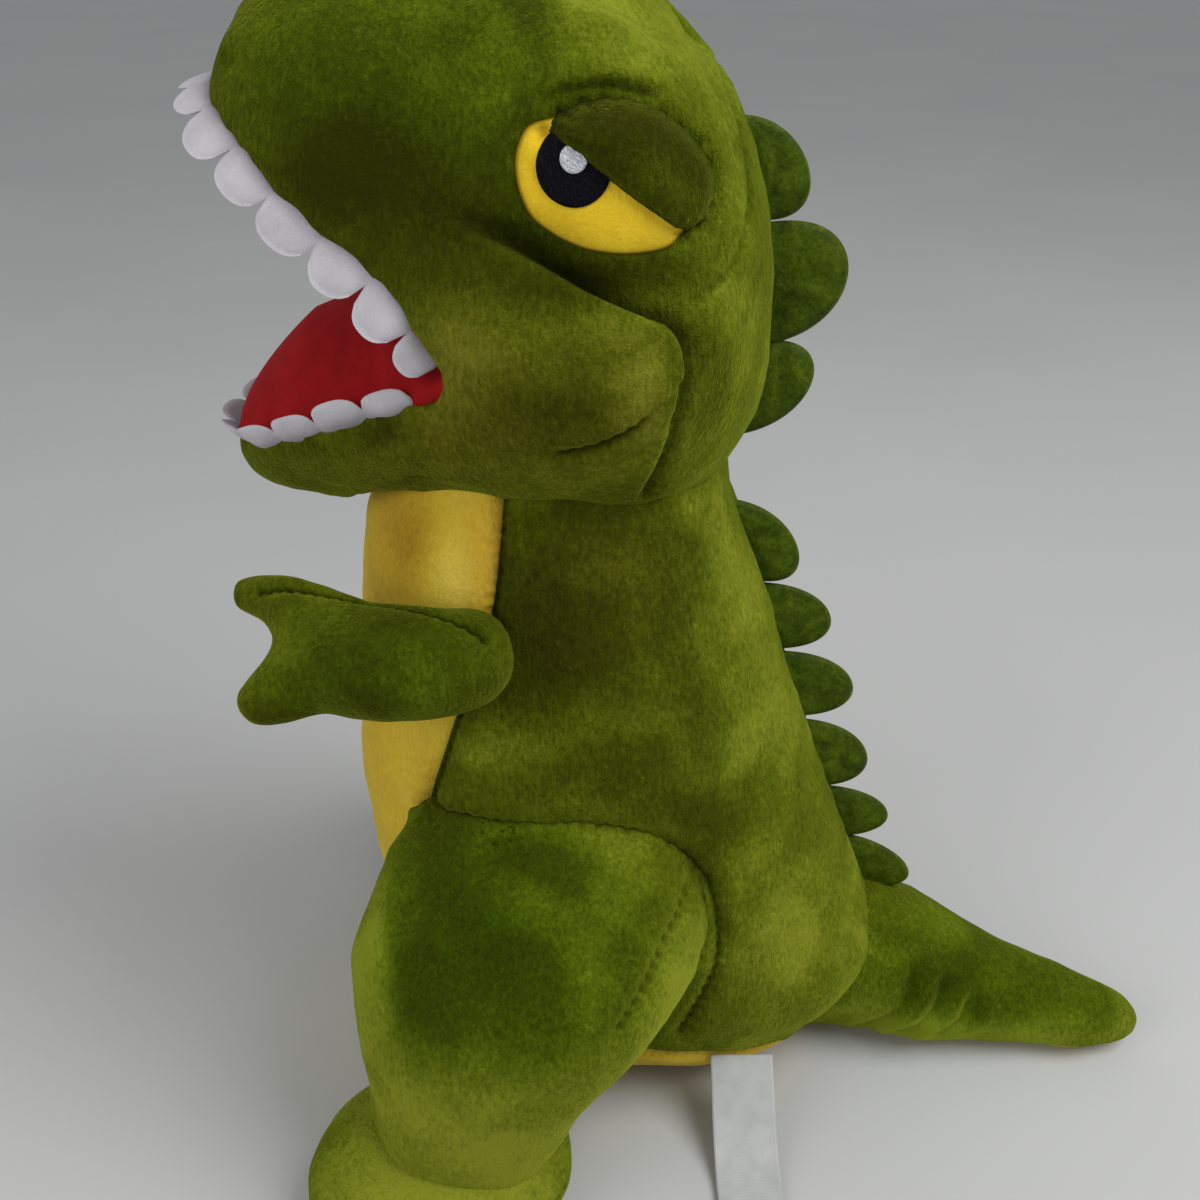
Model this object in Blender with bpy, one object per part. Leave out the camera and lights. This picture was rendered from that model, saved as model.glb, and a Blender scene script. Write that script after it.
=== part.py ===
"""Stuffed dinosaur, sewn from short-pile plush over fibre filling.

It faces -Y, its left side is +X and it sits on Z = 0.  Every fabric panel is a thin shell,
every filling is a solid inside it, and neighbours keep a small gap.  The head turns on the
neck seam, the arms swing on the shoulder seams and the tail wags at its root.
"""
import math

import bmesh
import bpy
from mathutils import Matrix, Vector

CM = 0.01

# ---- driving dimensions (metres) ----
GAP = 0.0003                 # between pieces that touch
PLUSH = 0.0016               # thickness of the plush fabric
FELT = 0.0010                # thickness of the felt teeth
LINING = 0.0012              # thickness of the mouth lining
FILLING_INSET = PLUSH + 2.0 * GAP
NECK_Z = 0.2385              # height of the neck seam
NECK_CENTRE = (0.0, -0.0120)
NECK_HOLE_RADIUS = 0.040
NECK_SWEEP_RADIUS = 0.0620   # inside this the head stays above the seam, so that it can turn
SHOULDER = (0.0620, -0.0340, 0.2030)
ELBOW_Y = -0.060             # behind this the arm lies flat against the torso's side
TAIL_ROOT = (0.0, 0.0980, 0.0320)
TAIL_SOCKET_RADIUS = 0.0345
TAIL_TOP = 0.0632            # the tail's root stays below this
TAIL_SEAM_Z = 0.0065         # between its green cover and its yellow underside
SPIKE_THICKNESS = 0.0044
LABEL_WIDTH = 0.0225
LABEL_THICKNESS = 0.0008
BODY_SEGMENTS = 26
LIMB_SEGMENTS = 16
FAR = 0.5                    # longer than the whole toy, for cutters

# ---- sections (centimetres) ----
# horizontal sections: height, centre x, centre y, half width, half depth
TORSO = (
    (-0.8, 0.0, 2.5, 0.0, 0.0),
    (-0.3, 0.0, 2.5, 2.8, 4.9),
    (0.5, 0.0, 2.4, 4.0, 6.6),
    (2.0, 0.0, 2.2, 5.3, 8.0),
    (4.5, 0.0, 1.9, 6.1, 9.0),
    (7.0, 0.0, 0.9, 6.4, 8.7),
    (10.0, 0.0, 0.2, 6.4, 8.4),
    (13.5, 0.0, -0.5, 6.3, 7.8),
    (17.0, 0.0, -0.95, 6.1, 7.15),
    (20.0, 0.0, -1.3, 5.9, 6.5),
    (22.5, 0.0, -1.55, 5.5, 5.75),
    (23.85, 0.0, -1.2, 4.9, 5.0),
    (25.0, 0.0, -1.0, 3.6, 3.8),
    (25.6, 0.0, -1.0, 0.0, 0.0),
)
LEG = (
    (1.2, 7.7, -4.3, 0.0, 0.0),
    (1.6, 7.7, -4.3, 2.2, 2.2),
    (3.4, 7.7, -4.2, 3.35, 3.4),
    (5.2, 7.5, -3.7, 3.8, 4.0),
    (7.3, 7.2, -2.8, 4.2, 5.2),
    (9.6, 6.9, -2.2, 4.4, 6.0),
    (12.0, 6.5, -2.2, 4.2, 5.8),
    (14.0, 6.0, -2.0, 3.5, 4.8),
    (15.0, 5.5, -1.8, 2.4, 3.4),
    (15.4, 5.2, -1.5, 0.0, 0.0),
)
# upright sections: place along y, centre x, centre z, half width, half height
HEAD = (
    (-11.4, 0.0, 27.4, 0.0, 0.0),
    (-11.1, 0.0, 28.1, 1.9, 4.0),
    (-10.4, 0.0, 29.1, 3.1, 5.95),
    (-9.5, 0.0, 29.8, 3.9, 6.95),
    (-8.2, 0.0, 30.2, 4.55, 7.45),
    (-6.4, 0.0, 30.45, 5.1, 7.75),
    (-4.2, 0.0, 30.55, 5.8, 7.85),
    (-2.0, 0.0, 30.5, 6.4, 7.9),
    (0.2, 0.0, 30.2, 6.7, 7.65),
    (2.2, 0.0, 29.7, 6.1, 6.6),
    (3.7, 0.0, 29.2, 4.7, 5.1),
    (4.7, 0.0, 28.9, 2.7, 2.9),
    (5.1, 0.0, 28.9, 0.0, 0.0),
)
ARM = (
    (-10.9, 5.9, 20.3, 0.0, 0.0),
    (-10.6, 5.9, 20.3, 1.5, 1.0),
    (-9.5, 6.1, 20.3, 2.0, 1.65),
    (-8.2, 6.6, 20.3, 1.9, 1.65),
    (-6.6, 7.2, 20.3, 1.45, 1.55),
    (-4.9, 7.7, 20.3, 1.4, 1.75),
    (-3.4, 7.8, 20.3, 1.4, 1.8),
    (-2.4, 7.75, 20.3, 1.05, 1.35),
    (-2.0, 7.7, 20.3, 0.0, 0.0),
)
TAIL = (
    (4.6, 0.2, 3.1, 0.0, 0.0),
    (5.2, 0.2, 3.1, 2.8, 3.05),
    (9.8, 0.3, 3.1, 2.8, 3.05),
    (11.9, 0.8, 2.6, 2.65, 2.65),
    (14.0, 1.2, 2.15, 2.3, 2.25),
    (16.2, 1.6, 1.8, 1.9, 1.9),
    (18.5, 2.0, 1.5, 1.5, 1.6),
    (20.2, 2.2, 1.25, 1.05, 1.2),
    (21.0, 2.3, 1.2, 0.6, 0.75),
    (21.3, 2.35, 1.2, 0.0, 0.0),
)
# upright sections of the foot along its own length, from toe to heel
FOOT = (
    (-4.85, 0.0, 1.4, 0.0, 0.0),
    (-4.6, 0.0, 1.4, 1.5, 1.0),
    (-3.8, 0.0, 1.5, 2.6, 1.7),
    (-2.2, 0.0, 1.6, 3.6, 2.1),
    (0.0, 0.0, 1.65, 3.95, 2.25),
    (2.2, 0.0, 1.65, 3.6, 2.25),
    (3.8, 0.0, 1.5, 2.6, 1.8),
    (4.6, 0.0, 1.4, 1.5, 1.1),
    (4.85, 0.0, 1.4, 0.0, 0.0),
)
FOOT_CENTRE = (8.8, -4.9)
FOOT_SPLAY = math.radians(30.0)
ANKLE_CENTRE = (0.077, -0.043)
ANKLE_HOLE_RADIUS = 0.020

# ---- outlines in the side view: (y, z) in centimetres ----
MOUTH = ((-14.0, 36.4), (-10.3, 34.4), (-7.6, 31.95), (-5.1, 29.85), (-3.9, 28.5), (-3.8, 28.0),
         (-4.5, 27.6), (-7.0, 26.7), (-10.2, 25.3), (-14.0, 23.9))
BELLY = ((-2.5, 26.5), (-2.9, 22.5), (-3.4, 20.0), (-4.5, 17.0), (-5.4, 14.0), (-5.5, 12.7),
         (-5.2, 10.0), (-4.5, 7.0), (-3.5, 4.5), (-1.5, 2.8), (2.0, 2.0), (7.0, 1.6), (12.5, 1.5),
         (12.5, -3.0), (-11.0, -3.0), (-11.0, 26.5))
HEAD_BACK = ((1.8, 22.0), (1.8, 29.7), (2.7, 31.5), (3.1, 33.5), (1.5, 36.0), (0.2, 41.0),
             (9.0, 41.0), (9.0, 22.0))
EYELID = ((-1.4, 34.95), (-1.2, 35.3), (0.0, 35.6), (1.0, 35.4), (1.9, 34.8), (2.6, 34.0),
          (2.9, 33.2), (2.75, 32.4), (2.2, 31.95), (-1.05, 34.65))
EYE_PATCH_CENTRE = (0.05, 33.3)
EYE_PATCH_RADII = (2.1, 1.55)
PUPIL_CENTRE = (-0.64, 33.65)
PUPIL_RADIUS = 0.84
GLINT_CENTRE = (-0.64, 33.93)
GLINT_RADIUS = 0.33
# each spike: root top, tip, root bottom
HEAD_SPIKES = (((3.6, 34.1), (5.9, 32.8), (4.6, 31.3)),
               ((4.5, 31.1), (7.3, 29.6), (4.4, 27.5)),
               ((4.5, 27.3), (6.4, 26.3), (3.7, 24.9)))
BACK_SPIKES = (((4.0, 22.2), (6.5, 20.4), (5.0, 19.2)),
               ((4.8, 19.1), (7.8, 17.8), (5.6, 16.5)),
               ((5.6, 16.4), (8.8, 15.1), (6.5, 13.7)),
               ((6.4, 13.6), (9.6, 12.1), (7.4, 10.6)),
               ((7.4, 10.5), (10.3, 9.7), (8.1, 8.7)),
               ((8.0, 8.6), (11.1, 6.9), (9.0, 6.9)))

# ---- rows of teeth: lip from the left corner to the front, (x, y, z) in centimetres ----
UPPER_LIP = ((4.75, -4.3, 28.7), (4.8, -5.4, 29.8), (4.6, -6.6, 30.8), (4.1, -7.9, 32.0),
             (3.4, -9.1, 33.1), (2.3, -10.2, 34.0), (1.1, -10.8, 34.4), (0.0, -11.0, 34.5))
LOWER_LIP = ((4.9, -5.3, 27.6), (4.6, -6.6, 27.15), (4.1, -8.0, 26.6), (3.4, -9.3, 26.0),
             (2.3, -10.4, 25.5), (1.1, -11.0, 25.3), (0.0, -11.2, 25.2))
UPPER_TEETH = 13
LOWER_TEETH = 11
TOOTH_BASE = 0.0022
UPPER_TOOTH_HEIGHT = 0.0095
LOWER_TOOTH_HEIGHT = 0.0060

# ---- care label: its run out from the seam and along the floor, (x, z) in centimetres ----
LABEL_RUN = ((5.55, 2.35), (6.2, 1.85), (6.9, 1.25), (7.6, 0.72), (8.3, 0.35), (9.1, 0.15),
             (10.0, 0.09), (11.3, 0.09))
LABEL_CENTRE_Y = 5.1

GREEN = (0.135, 0.175, 0.025)
SPIKE_GREEN = (0.035, 0.110, 0.015)
YELLOW = (0.640, 0.400, 0.035)
RED = (0.330, 0.006, 0.008)
WHITE = (0.780, 0.760, 0.740)
BLACK = (0.010, 0.011, 0.016)
FIBRE = (0.850, 0.850, 0.840)


def clear_scene():
    for old in list(bpy.data.objects):
        bpy.data.objects.remove(old, do_unlink=True)


def material(name, colour, roughness):
    found = bpy.data.materials.get(name)
    if found:
        return found
    made = bpy.data.materials.new(name)
    made.use_nodes = True
    shader = made.node_tree.nodes["Principled BSDF"]
    shader.inputs["Base Color"].default_value = (*colour, 1.0)
    shader.inputs["Roughness"].default_value = roughness
    shader.inputs["Metallic"].default_value = 0.0
    made.diffuse_color = (*colour, 1.0)
    return made


def to_object(bm, name):
    """A new linked object from a bmesh, which is freed."""
    mesh = bpy.data.meshes.new(name)
    bm.to_mesh(mesh)
    bm.free()
    made = bpy.data.objects.new(name, mesh)
    bpy.context.collection.objects.link(made)
    return made


def finish(piece, name, colour, slot, roughness=0.9):
    """Clean the piece's mesh and give it its name and material."""
    bm = bmesh.new()
    bm.from_mesh(piece.data)
    bmesh.ops.remove_doubles(bm, verts=bm.verts, dist=0.00002)
    bmesh.ops.dissolve_degenerate(bm, edges=bm.edges, dist=0.00002)
    bm.to_mesh(piece.data)
    bm.free()
    piece.name = name
    piece.data.name = name
    piece.data.materials.clear()
    piece.data.materials.append(material(slot, colour, roughness))
    return piece


# ---- solids ----

def superellipse(angle, power):
    c = math.cos(angle)
    s = math.sin(angle)
    return (math.copysign(abs(c) ** (2.0 / power), c), math.copysign(abs(s) ** (2.0 / power), s))


def loft(sections, upright, power, segments):
    """A closed skin through superellipse sections; the first and last section are points."""
    bm = bmesh.new()
    rings = []
    for along, centre_x, centre_v, half_x, half_v in sections:
        count = segments if half_x > 0.0 else 1
        ring = []
        for i in range(count):
            c, s = superellipse(2.0 * math.pi * (i + 0.5) / count, power)
            u = centre_x + half_x * c
            v = centre_v + half_v * s
            point = (u, along, v) if upright else (u, v, along)
            ring.append(bm.verts.new(Vector(point) * CM))
        rings.append(ring)
    for lower, upper in zip(rings[:-1], rings[1:]):
        for i in range(segments):
            corners = [lower[i % len(lower)], lower[(i + 1) % len(lower)],
                       upper[(i + 1) % len(upper)], upper[i % len(upper)]]
            bm.faces.new(list(dict.fromkeys(corners)))
    bmesh.ops.recalc_face_normals(bm, faces=bm.faces)
    return bm


def offset(bm, distance):
    """Move the skin outwards along its normals, evenly."""
    bm.normal_update()
    moves = [(v, v.normal * distance * v.calc_shell_factor()) for v in bm.verts]
    for vert, move in moves:
        vert.co += move
    bm.normal_update()
    return bm


def solid(make, distance=0.0):
    return to_object(offset(make(), distance), "solid")


def hollow(make, outer, inner):
    """The layer between two offsets of one skin."""
    bm = offset(make(), outer)
    core = offset(make(), inner)
    bmesh.ops.reverse_faces(core, faces=core.faces)
    core_mesh = bpy.data.meshes.new("core")
    core.to_mesh(core_mesh)
    core.free()
    bm.from_mesh(core_mesh)
    bpy.data.meshes.remove(core_mesh)
    return to_object(bm, "hollow")


def flatten_base(bm):
    """Press what would be under the floor up to it."""
    for vert in bm.verts:
        vert.co.z = max(vert.co.z, 0.0)
    return bm


def torso_skin():
    return flatten_base(loft(TORSO, False, 2.15, BODY_SEGMENTS))


def head_skin():
    return loft(HEAD, True, 2.5, BODY_SEGMENTS)


def leg_skin():
    return loft(LEG, False, 2.1, LIMB_SEGMENTS)


def foot_skin():
    bm = flatten_base(loft(FOOT, True, 2.2, LIMB_SEGMENTS))
    bmesh.ops.rotate(bm, verts=bm.verts, matrix=Matrix.Rotation(FOOT_SPLAY, 3, "Z"))
    bmesh.ops.translate(bm, verts=bm.verts, vec=(FOOT_CENTRE[0] * CM, FOOT_CENTRE[1] * CM, 0.0))
    return bm


def arm_skin():
    return loft(ARM, True, 2.1, LIMB_SEGMENTS)


def tail_skin():
    return flatten_base(loft(TAIL, True, 2.1, LIMB_SEGMENTS))


def prism(outline, x_low=-FAR, x_high=FAR, grow=0.0):
    """A side-view outline pushed along X, grown outwards by a distance."""
    points = [Vector((y, z)) * CM for y, z in outline]
    area = sum(a.x * b.y - b.x * a.y for a, b in zip(points, points[1:] + points[:1]))
    turn = 1.0 if area > 0.0 else -1.0
    grown = []
    for before, here, after in zip(points[-1:] + points[:-1], points, points[1:] + points[:1]):
        into = (here - before).normalized()
        away = (after - here).normalized()
        first = Vector((into.y, -into.x)) * turn
        second = Vector((away.y, -away.x)) * turn
        corner = first + second
        grown.append(here + corner * (grow * 2.0 / corner.length_squared))
    bm = bmesh.new()
    face = bm.faces.new([bm.verts.new((x_low, p.x, p.y)) for p in grown])
    made = bmesh.ops.extrude_face_region(bm, geom=[face])
    new_verts = [g for g in made["geom"] if isinstance(g, bmesh.types.BMVert)]
    bmesh.ops.translate(bm, verts=new_verts, vec=(x_high - x_low, 0.0, 0.0))
    bmesh.ops.recalc_face_normals(bm, faces=bm.faces)
    return to_object(bm, "prism")


def ellipse(centre, radii, count):
    return [(centre[0] + radii[0] * math.cos(2.0 * math.pi * (i + 0.5) / count),
             centre[1] + radii[1] * math.sin(2.0 * math.pi * (i + 0.5) / count))
            for i in range(count)]


def box(low, high):
    bm = bmesh.new()
    bmesh.ops.create_cube(bm, size=1.0)
    for vert in bm.verts:
        for axis in range(3):
            middle = (low[axis] + high[axis]) / 2.0
            vert.co[axis] = middle + vert.co[axis] * (high[axis] - low[axis])
    return to_object(bm, "box")


def post(centre, radius, z_low, z_high, sides=32):
    """An upright cylinder."""
    bm = bmesh.new()
    bmesh.ops.create_cone(bm, cap_ends=True, segments=sides, radius1=radius, radius2=radius,
                          depth=z_high - z_low)
    bmesh.ops.translate(bm, verts=bm.verts, vec=(centre[0], centre[1], (z_low + z_high) / 2.0))
    return to_object(bm, "post")


def combine(piece, tool, operation):
    """Apply an exact Boolean to the piece and remove the tool."""
    modifier = piece.modifiers.new("combine", "BOOLEAN")
    modifier.operation = operation
    modifier.solver = "EXACT"
    modifier.object = tool
    depsgraph = bpy.context.evaluated_depsgraph_get()
    result = bpy.data.meshes.new_from_object(piece.evaluated_get(depsgraph))
    piece.modifiers.clear()
    used = piece.data
    piece.data = result
    bpy.data.meshes.remove(used)
    bpy.data.objects.remove(tool, do_unlink=True)
    return piece


def cut(piece, tool):
    return combine(piece, tool, "DIFFERENCE")


def keep(piece, tool):
    return combine(piece, tool, "INTERSECT")


def join(piece, tool):
    return combine(piece, tool, "UNION")


def below(height):
    return box((-FAR, -FAR, -FAR), (FAR, FAR, height))


def above(height):
    return box((-FAR, -FAR, height), (FAR, FAR, FAR))


def mirrored(piece, name):
    """The same piece on the other side of the toy."""
    bm = bmesh.new()
    bm.from_mesh(piece.data)
    for vert in bm.verts:
        vert.co.x = -vert.co.x
    bmesh.ops.reverse_faces(bm, faces=bm.faces)
    made = to_object(bm, name)
    made.data.materials.append(piece.data.materials[0])
    return made


def pair(piece):
    """The left piece and its mirror image on the right."""
    return [piece, mirrored(piece, piece.name.replace("left", "right"))]


# ---- torso ----

def tail_space(clearance):
    """What the tail's root needs inside the torso's rear."""
    top = TAIL_TOP + clearance
    socket = post(TAIL_ROOT, TAIL_SOCKET_RADIUS + clearance, -FAR, top)
    rear = box((-FAR, TAIL_ROOT[1] + clearance, -FAR), (FAR, FAR, top))
    return join(socket, rear)


def torso_layer(outer, inner, clearance):
    layer = solid(torso_skin, outer) if inner is None else hollow(torso_skin, outer, inner)
    cut(layer, above(NECK_Z - GAP / 2.0))
    return cut(layer, tail_space(clearance))


def build_torso():
    back = torso_layer(0.0, -PLUSH, GAP)
    cut(back, prism(BELLY, grow=GAP / 2.0))
    finish(back, "torso_back_cover", GREEN, "green_plush")
    belly = torso_layer(0.0, -PLUSH, GAP)
    keep(belly, prism(BELLY, grow=-GAP / 2.0))
    finish(belly, "belly_panel", YELLOW, "yellow_plush")
    filling = torso_layer(-FILLING_INSET, None, FILLING_INSET + GAP)
    finish(filling, "torso_filling", FIBRE, "fibre")
    return [back, belly, filling]


# ---- head ----

def head_layer(outer, inner):
    layer = solid(head_skin, outer) if inner is None else hollow(head_skin, outer, inner)
    return cut(layer, post(NECK_CENTRE, NECK_SWEEP_RADIUS, 0.2, NECK_Z + GAP / 2.0, 48))


def neck_hole(radius):
    return post(NECK_CENTRE, radius, NECK_Z - 0.01, NECK_Z + 0.006)


def build_head_covers():
    covers = []
    for name, region, operation in (("face_cover", -1.0, cut), ("head_back_cover", 1.0, keep)):
        cover = head_layer(0.0, -PLUSH)
        operation(cover, prism(HEAD_BACK, grow=-region * GAP / 2.0))
        cut(cover, neck_hole(NECK_HOLE_RADIUS))
        if name == "face_cover":
            cut(cover, prism(MOUTH, grow=LINING + GAP))
        covers.append(finish(cover, name, GREEN, "green_plush"))
    filling = head_layer(-FILLING_INSET, None)
    cut(filling, prism(MOUTH, grow=LINING + GAP))
    covers.append(finish(filling, "head_filling", FIBRE, "fibre"))
    return covers


def build_mouth_lining():
    lining = head_layer(0.0, None)
    keep(lining, prism(MOUTH, grow=LINING))
    cut(lining, prism(MOUTH))
    return finish(lining, "mouth_lining", RED, "red_felt")


def along_lip(lip, count):
    """Evenly spaced places round both sides of a lip, with the way out of the face."""
    left = [Vector(p) * CM for p in lip]
    whole = left + [Vector((-p.x, p.y, p.z)) for p in reversed(left[:-1])]
    lengths = [0.0]
    for a, b in zip(whole[:-1], whole[1:]):
        lengths.append(lengths[-1] + (b - a).length)
    places = []
    segment = 0
    for i in range(count + 1):
        target = lengths[-1] * i / count
        while segment < len(whole) - 2 and lengths[segment + 1] < target:
            segment += 1
        part = (target - lengths[segment]) / (lengths[segment + 1] - lengths[segment])
        places.append(whole[segment].lerp(whole[segment + 1], min(part, 1.0)))
    return places


def tooth_strip(name, lip, teeth, height, hang):
    """A scalloped felt strip: a flat band along the lip with one round tooth after another."""
    steps = 6
    places = along_lip(lip, teeth * steps)
    bm = bmesh.new()
    columns = []
    for i, place in enumerate(places):
        run = (places[min(i + 1, len(places) - 1)] - places[max(i - 1, 0)]).normalized()
        outward = Vector((place.x, place.y + 0.04, 0.0)).normalized()
        down = (hang + outward * 0.35).normalized()
        down = (down - run * down.dot(run)).normalized()
        side = run.cross(down).normalized() * (FELT / 2.0)
        phase = (i % steps) / steps * 2.0 - 1.0
        reach = TOOTH_BASE + height * math.sqrt(max(1.0 - phase * phase, 0.0))
        rows = [place, place + down * TOOTH_BASE * 0.5, place + down * reach]
        columns.append([[bm.verts.new(p + side), bm.verts.new(p - side)] for p in rows])
    for left, right in zip(columns[:-1], columns[1:]):
        for row in range(2):
            for face in (0, 1):
                bm.faces.new([left[row][face], right[row][face],
                              right[row + 1][face], left[row + 1][face]])
        for row in (0, 2):
            bm.faces.new([left[row][0], left[row][1], right[row][1], right[row][0]])
    for column in (columns[0], columns[-1]):
        for row in range(2):
            bm.faces.new([column[row][0], column[row][1], column[row + 1][1], column[row + 1][0]])
    bmesh.ops.recalc_face_normals(bm, faces=bm.faces)
    return finish(to_object(bm, name), name, WHITE, "white_felt")


def build_teeth():
    upper_hang = Vector((0.0, -0.68, -0.73))
    lower_hang = Vector((0.0, -0.25, 0.97))
    return [tooth_strip("upper_teeth", UPPER_LIP, UPPER_TEETH, UPPER_TOOTH_HEIGHT, upper_hang),
            tooth_strip("lower_teeth", LOWER_LIP, LOWER_TEETH, LOWER_TOOTH_HEIGHT, lower_hang)]


def on_head(outline, inner, outer):
    """A layer on the left side of the head, cut to a side-view outline."""
    return keep(hollow(head_skin, outer, inner), prism(outline, 0.03, 0.09))


def build_eyes():
    """Eye patch, pupil, glint and eyelid, each lying on the one before."""
    patch_top = GAP + 0.0008
    pupil_top = patch_top + GAP + 0.0006
    patch = on_head(ellipse(EYE_PATCH_CENTRE, EYE_PATCH_RADII, 20), GAP, patch_top)
    pupil_outline = ellipse(PUPIL_CENTRE, (PUPIL_RADIUS, PUPIL_RADIUS), 16)
    pupil = on_head(pupil_outline, patch_top + GAP, pupil_top)
    cut(pupil, prism(EYELID, grow=GAP))
    glint_outline = ellipse(GLINT_CENTRE, (GLINT_RADIUS, GLINT_RADIUS), 10)
    glint = on_head(glint_outline, pupil_top + GAP, pupil_top + GAP + 0.0006)
    cut(glint, prism(EYELID, grow=GAP))
    lid = on_head(EYELID, patch_top + GAP, patch_top + 0.0060)
    finish(patch, "eye_patch_left", YELLOW, "yellow_plush")
    finish(pupil, "pupil_left", BLACK, "black_thread", 0.6)
    finish(glint, "eye_glint_left", WHITE, "white_thread", 0.6)
    finish(lid, "eyelid_left", GREEN, "green_plush")
    return pair(patch) + pair(pupil) + pair(glint) + pair(lid)


# ---- spikes ----

def spike(name, corners, backing):
    """A stuffed flat spike on the middle of the back, bulged from root to rounded tip."""
    top, tip, bottom = [Vector(c) * CM for c in corners]
    middle = (top + bottom) / 2.0
    depth = tip - middle
    half = (top - bottom) / 2.0
    steps = 10
    outline = [top - depth * 0.35, top]
    for i in range(1, steps):
        angle = math.pi * i / steps
        outline.append(middle + half * math.cos(angle) + depth * math.sin(angle) ** 0.8)
    outline += [bottom, bottom - depth * 0.35]
    rim = SPIKE_THICKNESS * 0.2
    bm = bmesh.new()
    near = [bm.verts.new((rim, p.x, p.y)) for p in outline]
    far = [bm.verts.new((-rim, p.x, p.y)) for p in outline]
    centre = middle + depth * 0.35
    bulge = SPIKE_THICKNESS / 2.0
    for side, sign in ((near, 1.0), (far, -1.0)):
        inner = []
        for vert in side:
            flat = Vector((vert.co.y, vert.co.z)).lerp(centre, 0.35)
            inner.append(bm.verts.new((bulge * sign, flat.x, flat.y)))
        for i in range(len(side)):
            j = (i + 1) % len(side)
            bm.faces.new([side[i], side[j], inner[j], inner[i]])
        bm.faces.new(inner)
    for i in range(len(near)):
        j = (i + 1) % len(near)
        bm.faces.new([near[i], near[j], far[j], far[i]])
    bmesh.ops.recalc_face_normals(bm, faces=bm.faces)
    made = cut(to_object(bm, name), solid(backing, GAP))
    return finish(made, name, SPIKE_GREEN, "spike_plush", 0.8)


def build_spikes():
    head = [spike("head_spike_%d" % (i + 1), corners, head_skin)
            for i, corners in enumerate(HEAD_SPIKES)]
    back = [spike("back_spike_%d" % (i + 1), corners, torso_skin)
            for i, corners in enumerate(BACK_SPIKES)]
    cut(back[-1], below(TAIL_TOP + GAP))
    return head, back


# ---- limbs ----

def build_leg():
    cover = hollow(leg_skin, 0.0, -PLUSH)
    filling = solid(leg_skin, -FILLING_INSET)
    for piece in (cover, filling):
        cut(piece, solid(torso_skin, GAP))
        cut(piece, solid(foot_skin, GAP))
    finish(cover, "leg_cover_left", GREEN, "green_plush")
    finish(filling, "leg_filling_left", FIBRE, "fibre")
    return pair(cover) + pair(filling)


def build_foot():
    cover = hollow(foot_skin, 0.0, -PLUSH)
    cut(cover, post(ANKLE_CENTRE, ANKLE_HOLE_RADIUS, 0.015, 0.06, 18))
    filling = solid(foot_skin, -FILLING_INSET)
    finish(cover, "foot_cover_left", GREEN, "green_plush")
    finish(filling, "foot_filling_left", FIBRE, "fibre")
    return pair(cover) + pair(filling)


def finger_notch(grow):
    """The notch between the two fingers, which spread inwards and upwards."""
    bm = bmesh.new()
    depth = 0.016 + grow
    half = 0.0065 + grow
    points = ((-0.05, -half * 2.0), (0.0, -half), (depth, 0.0), (0.0, half), (-0.05, half * 2.0))
    face = bm.faces.new([bm.verts.new((-FAR * 0.1, p[0], p[1])) for p in points])
    made = bmesh.ops.extrude_face_region(bm, geom=[face])
    new_verts = [g for g in made["geom"] if isinstance(g, bmesh.types.BMVert)]
    bmesh.ops.translate(bm, verts=new_verts, vec=(FAR * 0.2, 0.0, 0.0))
    bmesh.ops.recalc_face_normals(bm, faces=bm.faces)
    notch = to_object(bm, "notch")
    notch.rotation_euler = (0.0, math.radians(56.0), 0.0)
    notch.location = (5.9 * CM, -10.9 * CM, 20.3 * CM)
    bpy.context.view_layer.update()
    return notch


def build_arms():
    cover = hollow(arm_skin, 0.0, -PLUSH)
    filling = solid(arm_skin, -FILLING_INSET)
    body_side = (SHOULDER[0] + GAP, FAR, FAR)
    for piece, grow in ((cover, 0.0), (filling, FILLING_INSET)):
        cut(piece, finger_notch(grow))
        cut(piece, box((-FAR, ELBOW_Y, -FAR), body_side))
    finish(cover, "arm_cover_left", GREEN, "green_plush")
    finish(filling, "arm_filling_left", FIBRE, "fibre")
    return pair(cover) + pair(filling)


# ---- tail ----

def tail_region():
    """The tail's own space: its round root and everything behind it."""
    root = post(TAIL_ROOT, TAIL_SOCKET_RADIUS, -FAR, FAR)
    return join(root, box((-FAR, TAIL_ROOT[1], -FAR), (FAR, FAR, FAR)))


def build_tail():
    cover = hollow(tail_skin, 0.0, -PLUSH)
    keep(cover, tail_region())
    cut(cover, below(TAIL_SEAM_Z + GAP / 2.0))
    underside = hollow(tail_skin, 0.0, -PLUSH)
    keep(underside, tail_region())
    cut(underside, above(TAIL_SEAM_Z - GAP / 2.0))
    filling = solid(tail_skin, -FILLING_INSET)
    keep(filling, tail_region())
    finish(cover, "tail_cover", GREEN, "green_plush")
    finish(underside, "tail_underside_panel", YELLOW, "yellow_plush")
    finish(filling, "tail_filling", FIBRE, "fibre")
    return [cover, underside, filling]


# ---- care label ----

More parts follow.
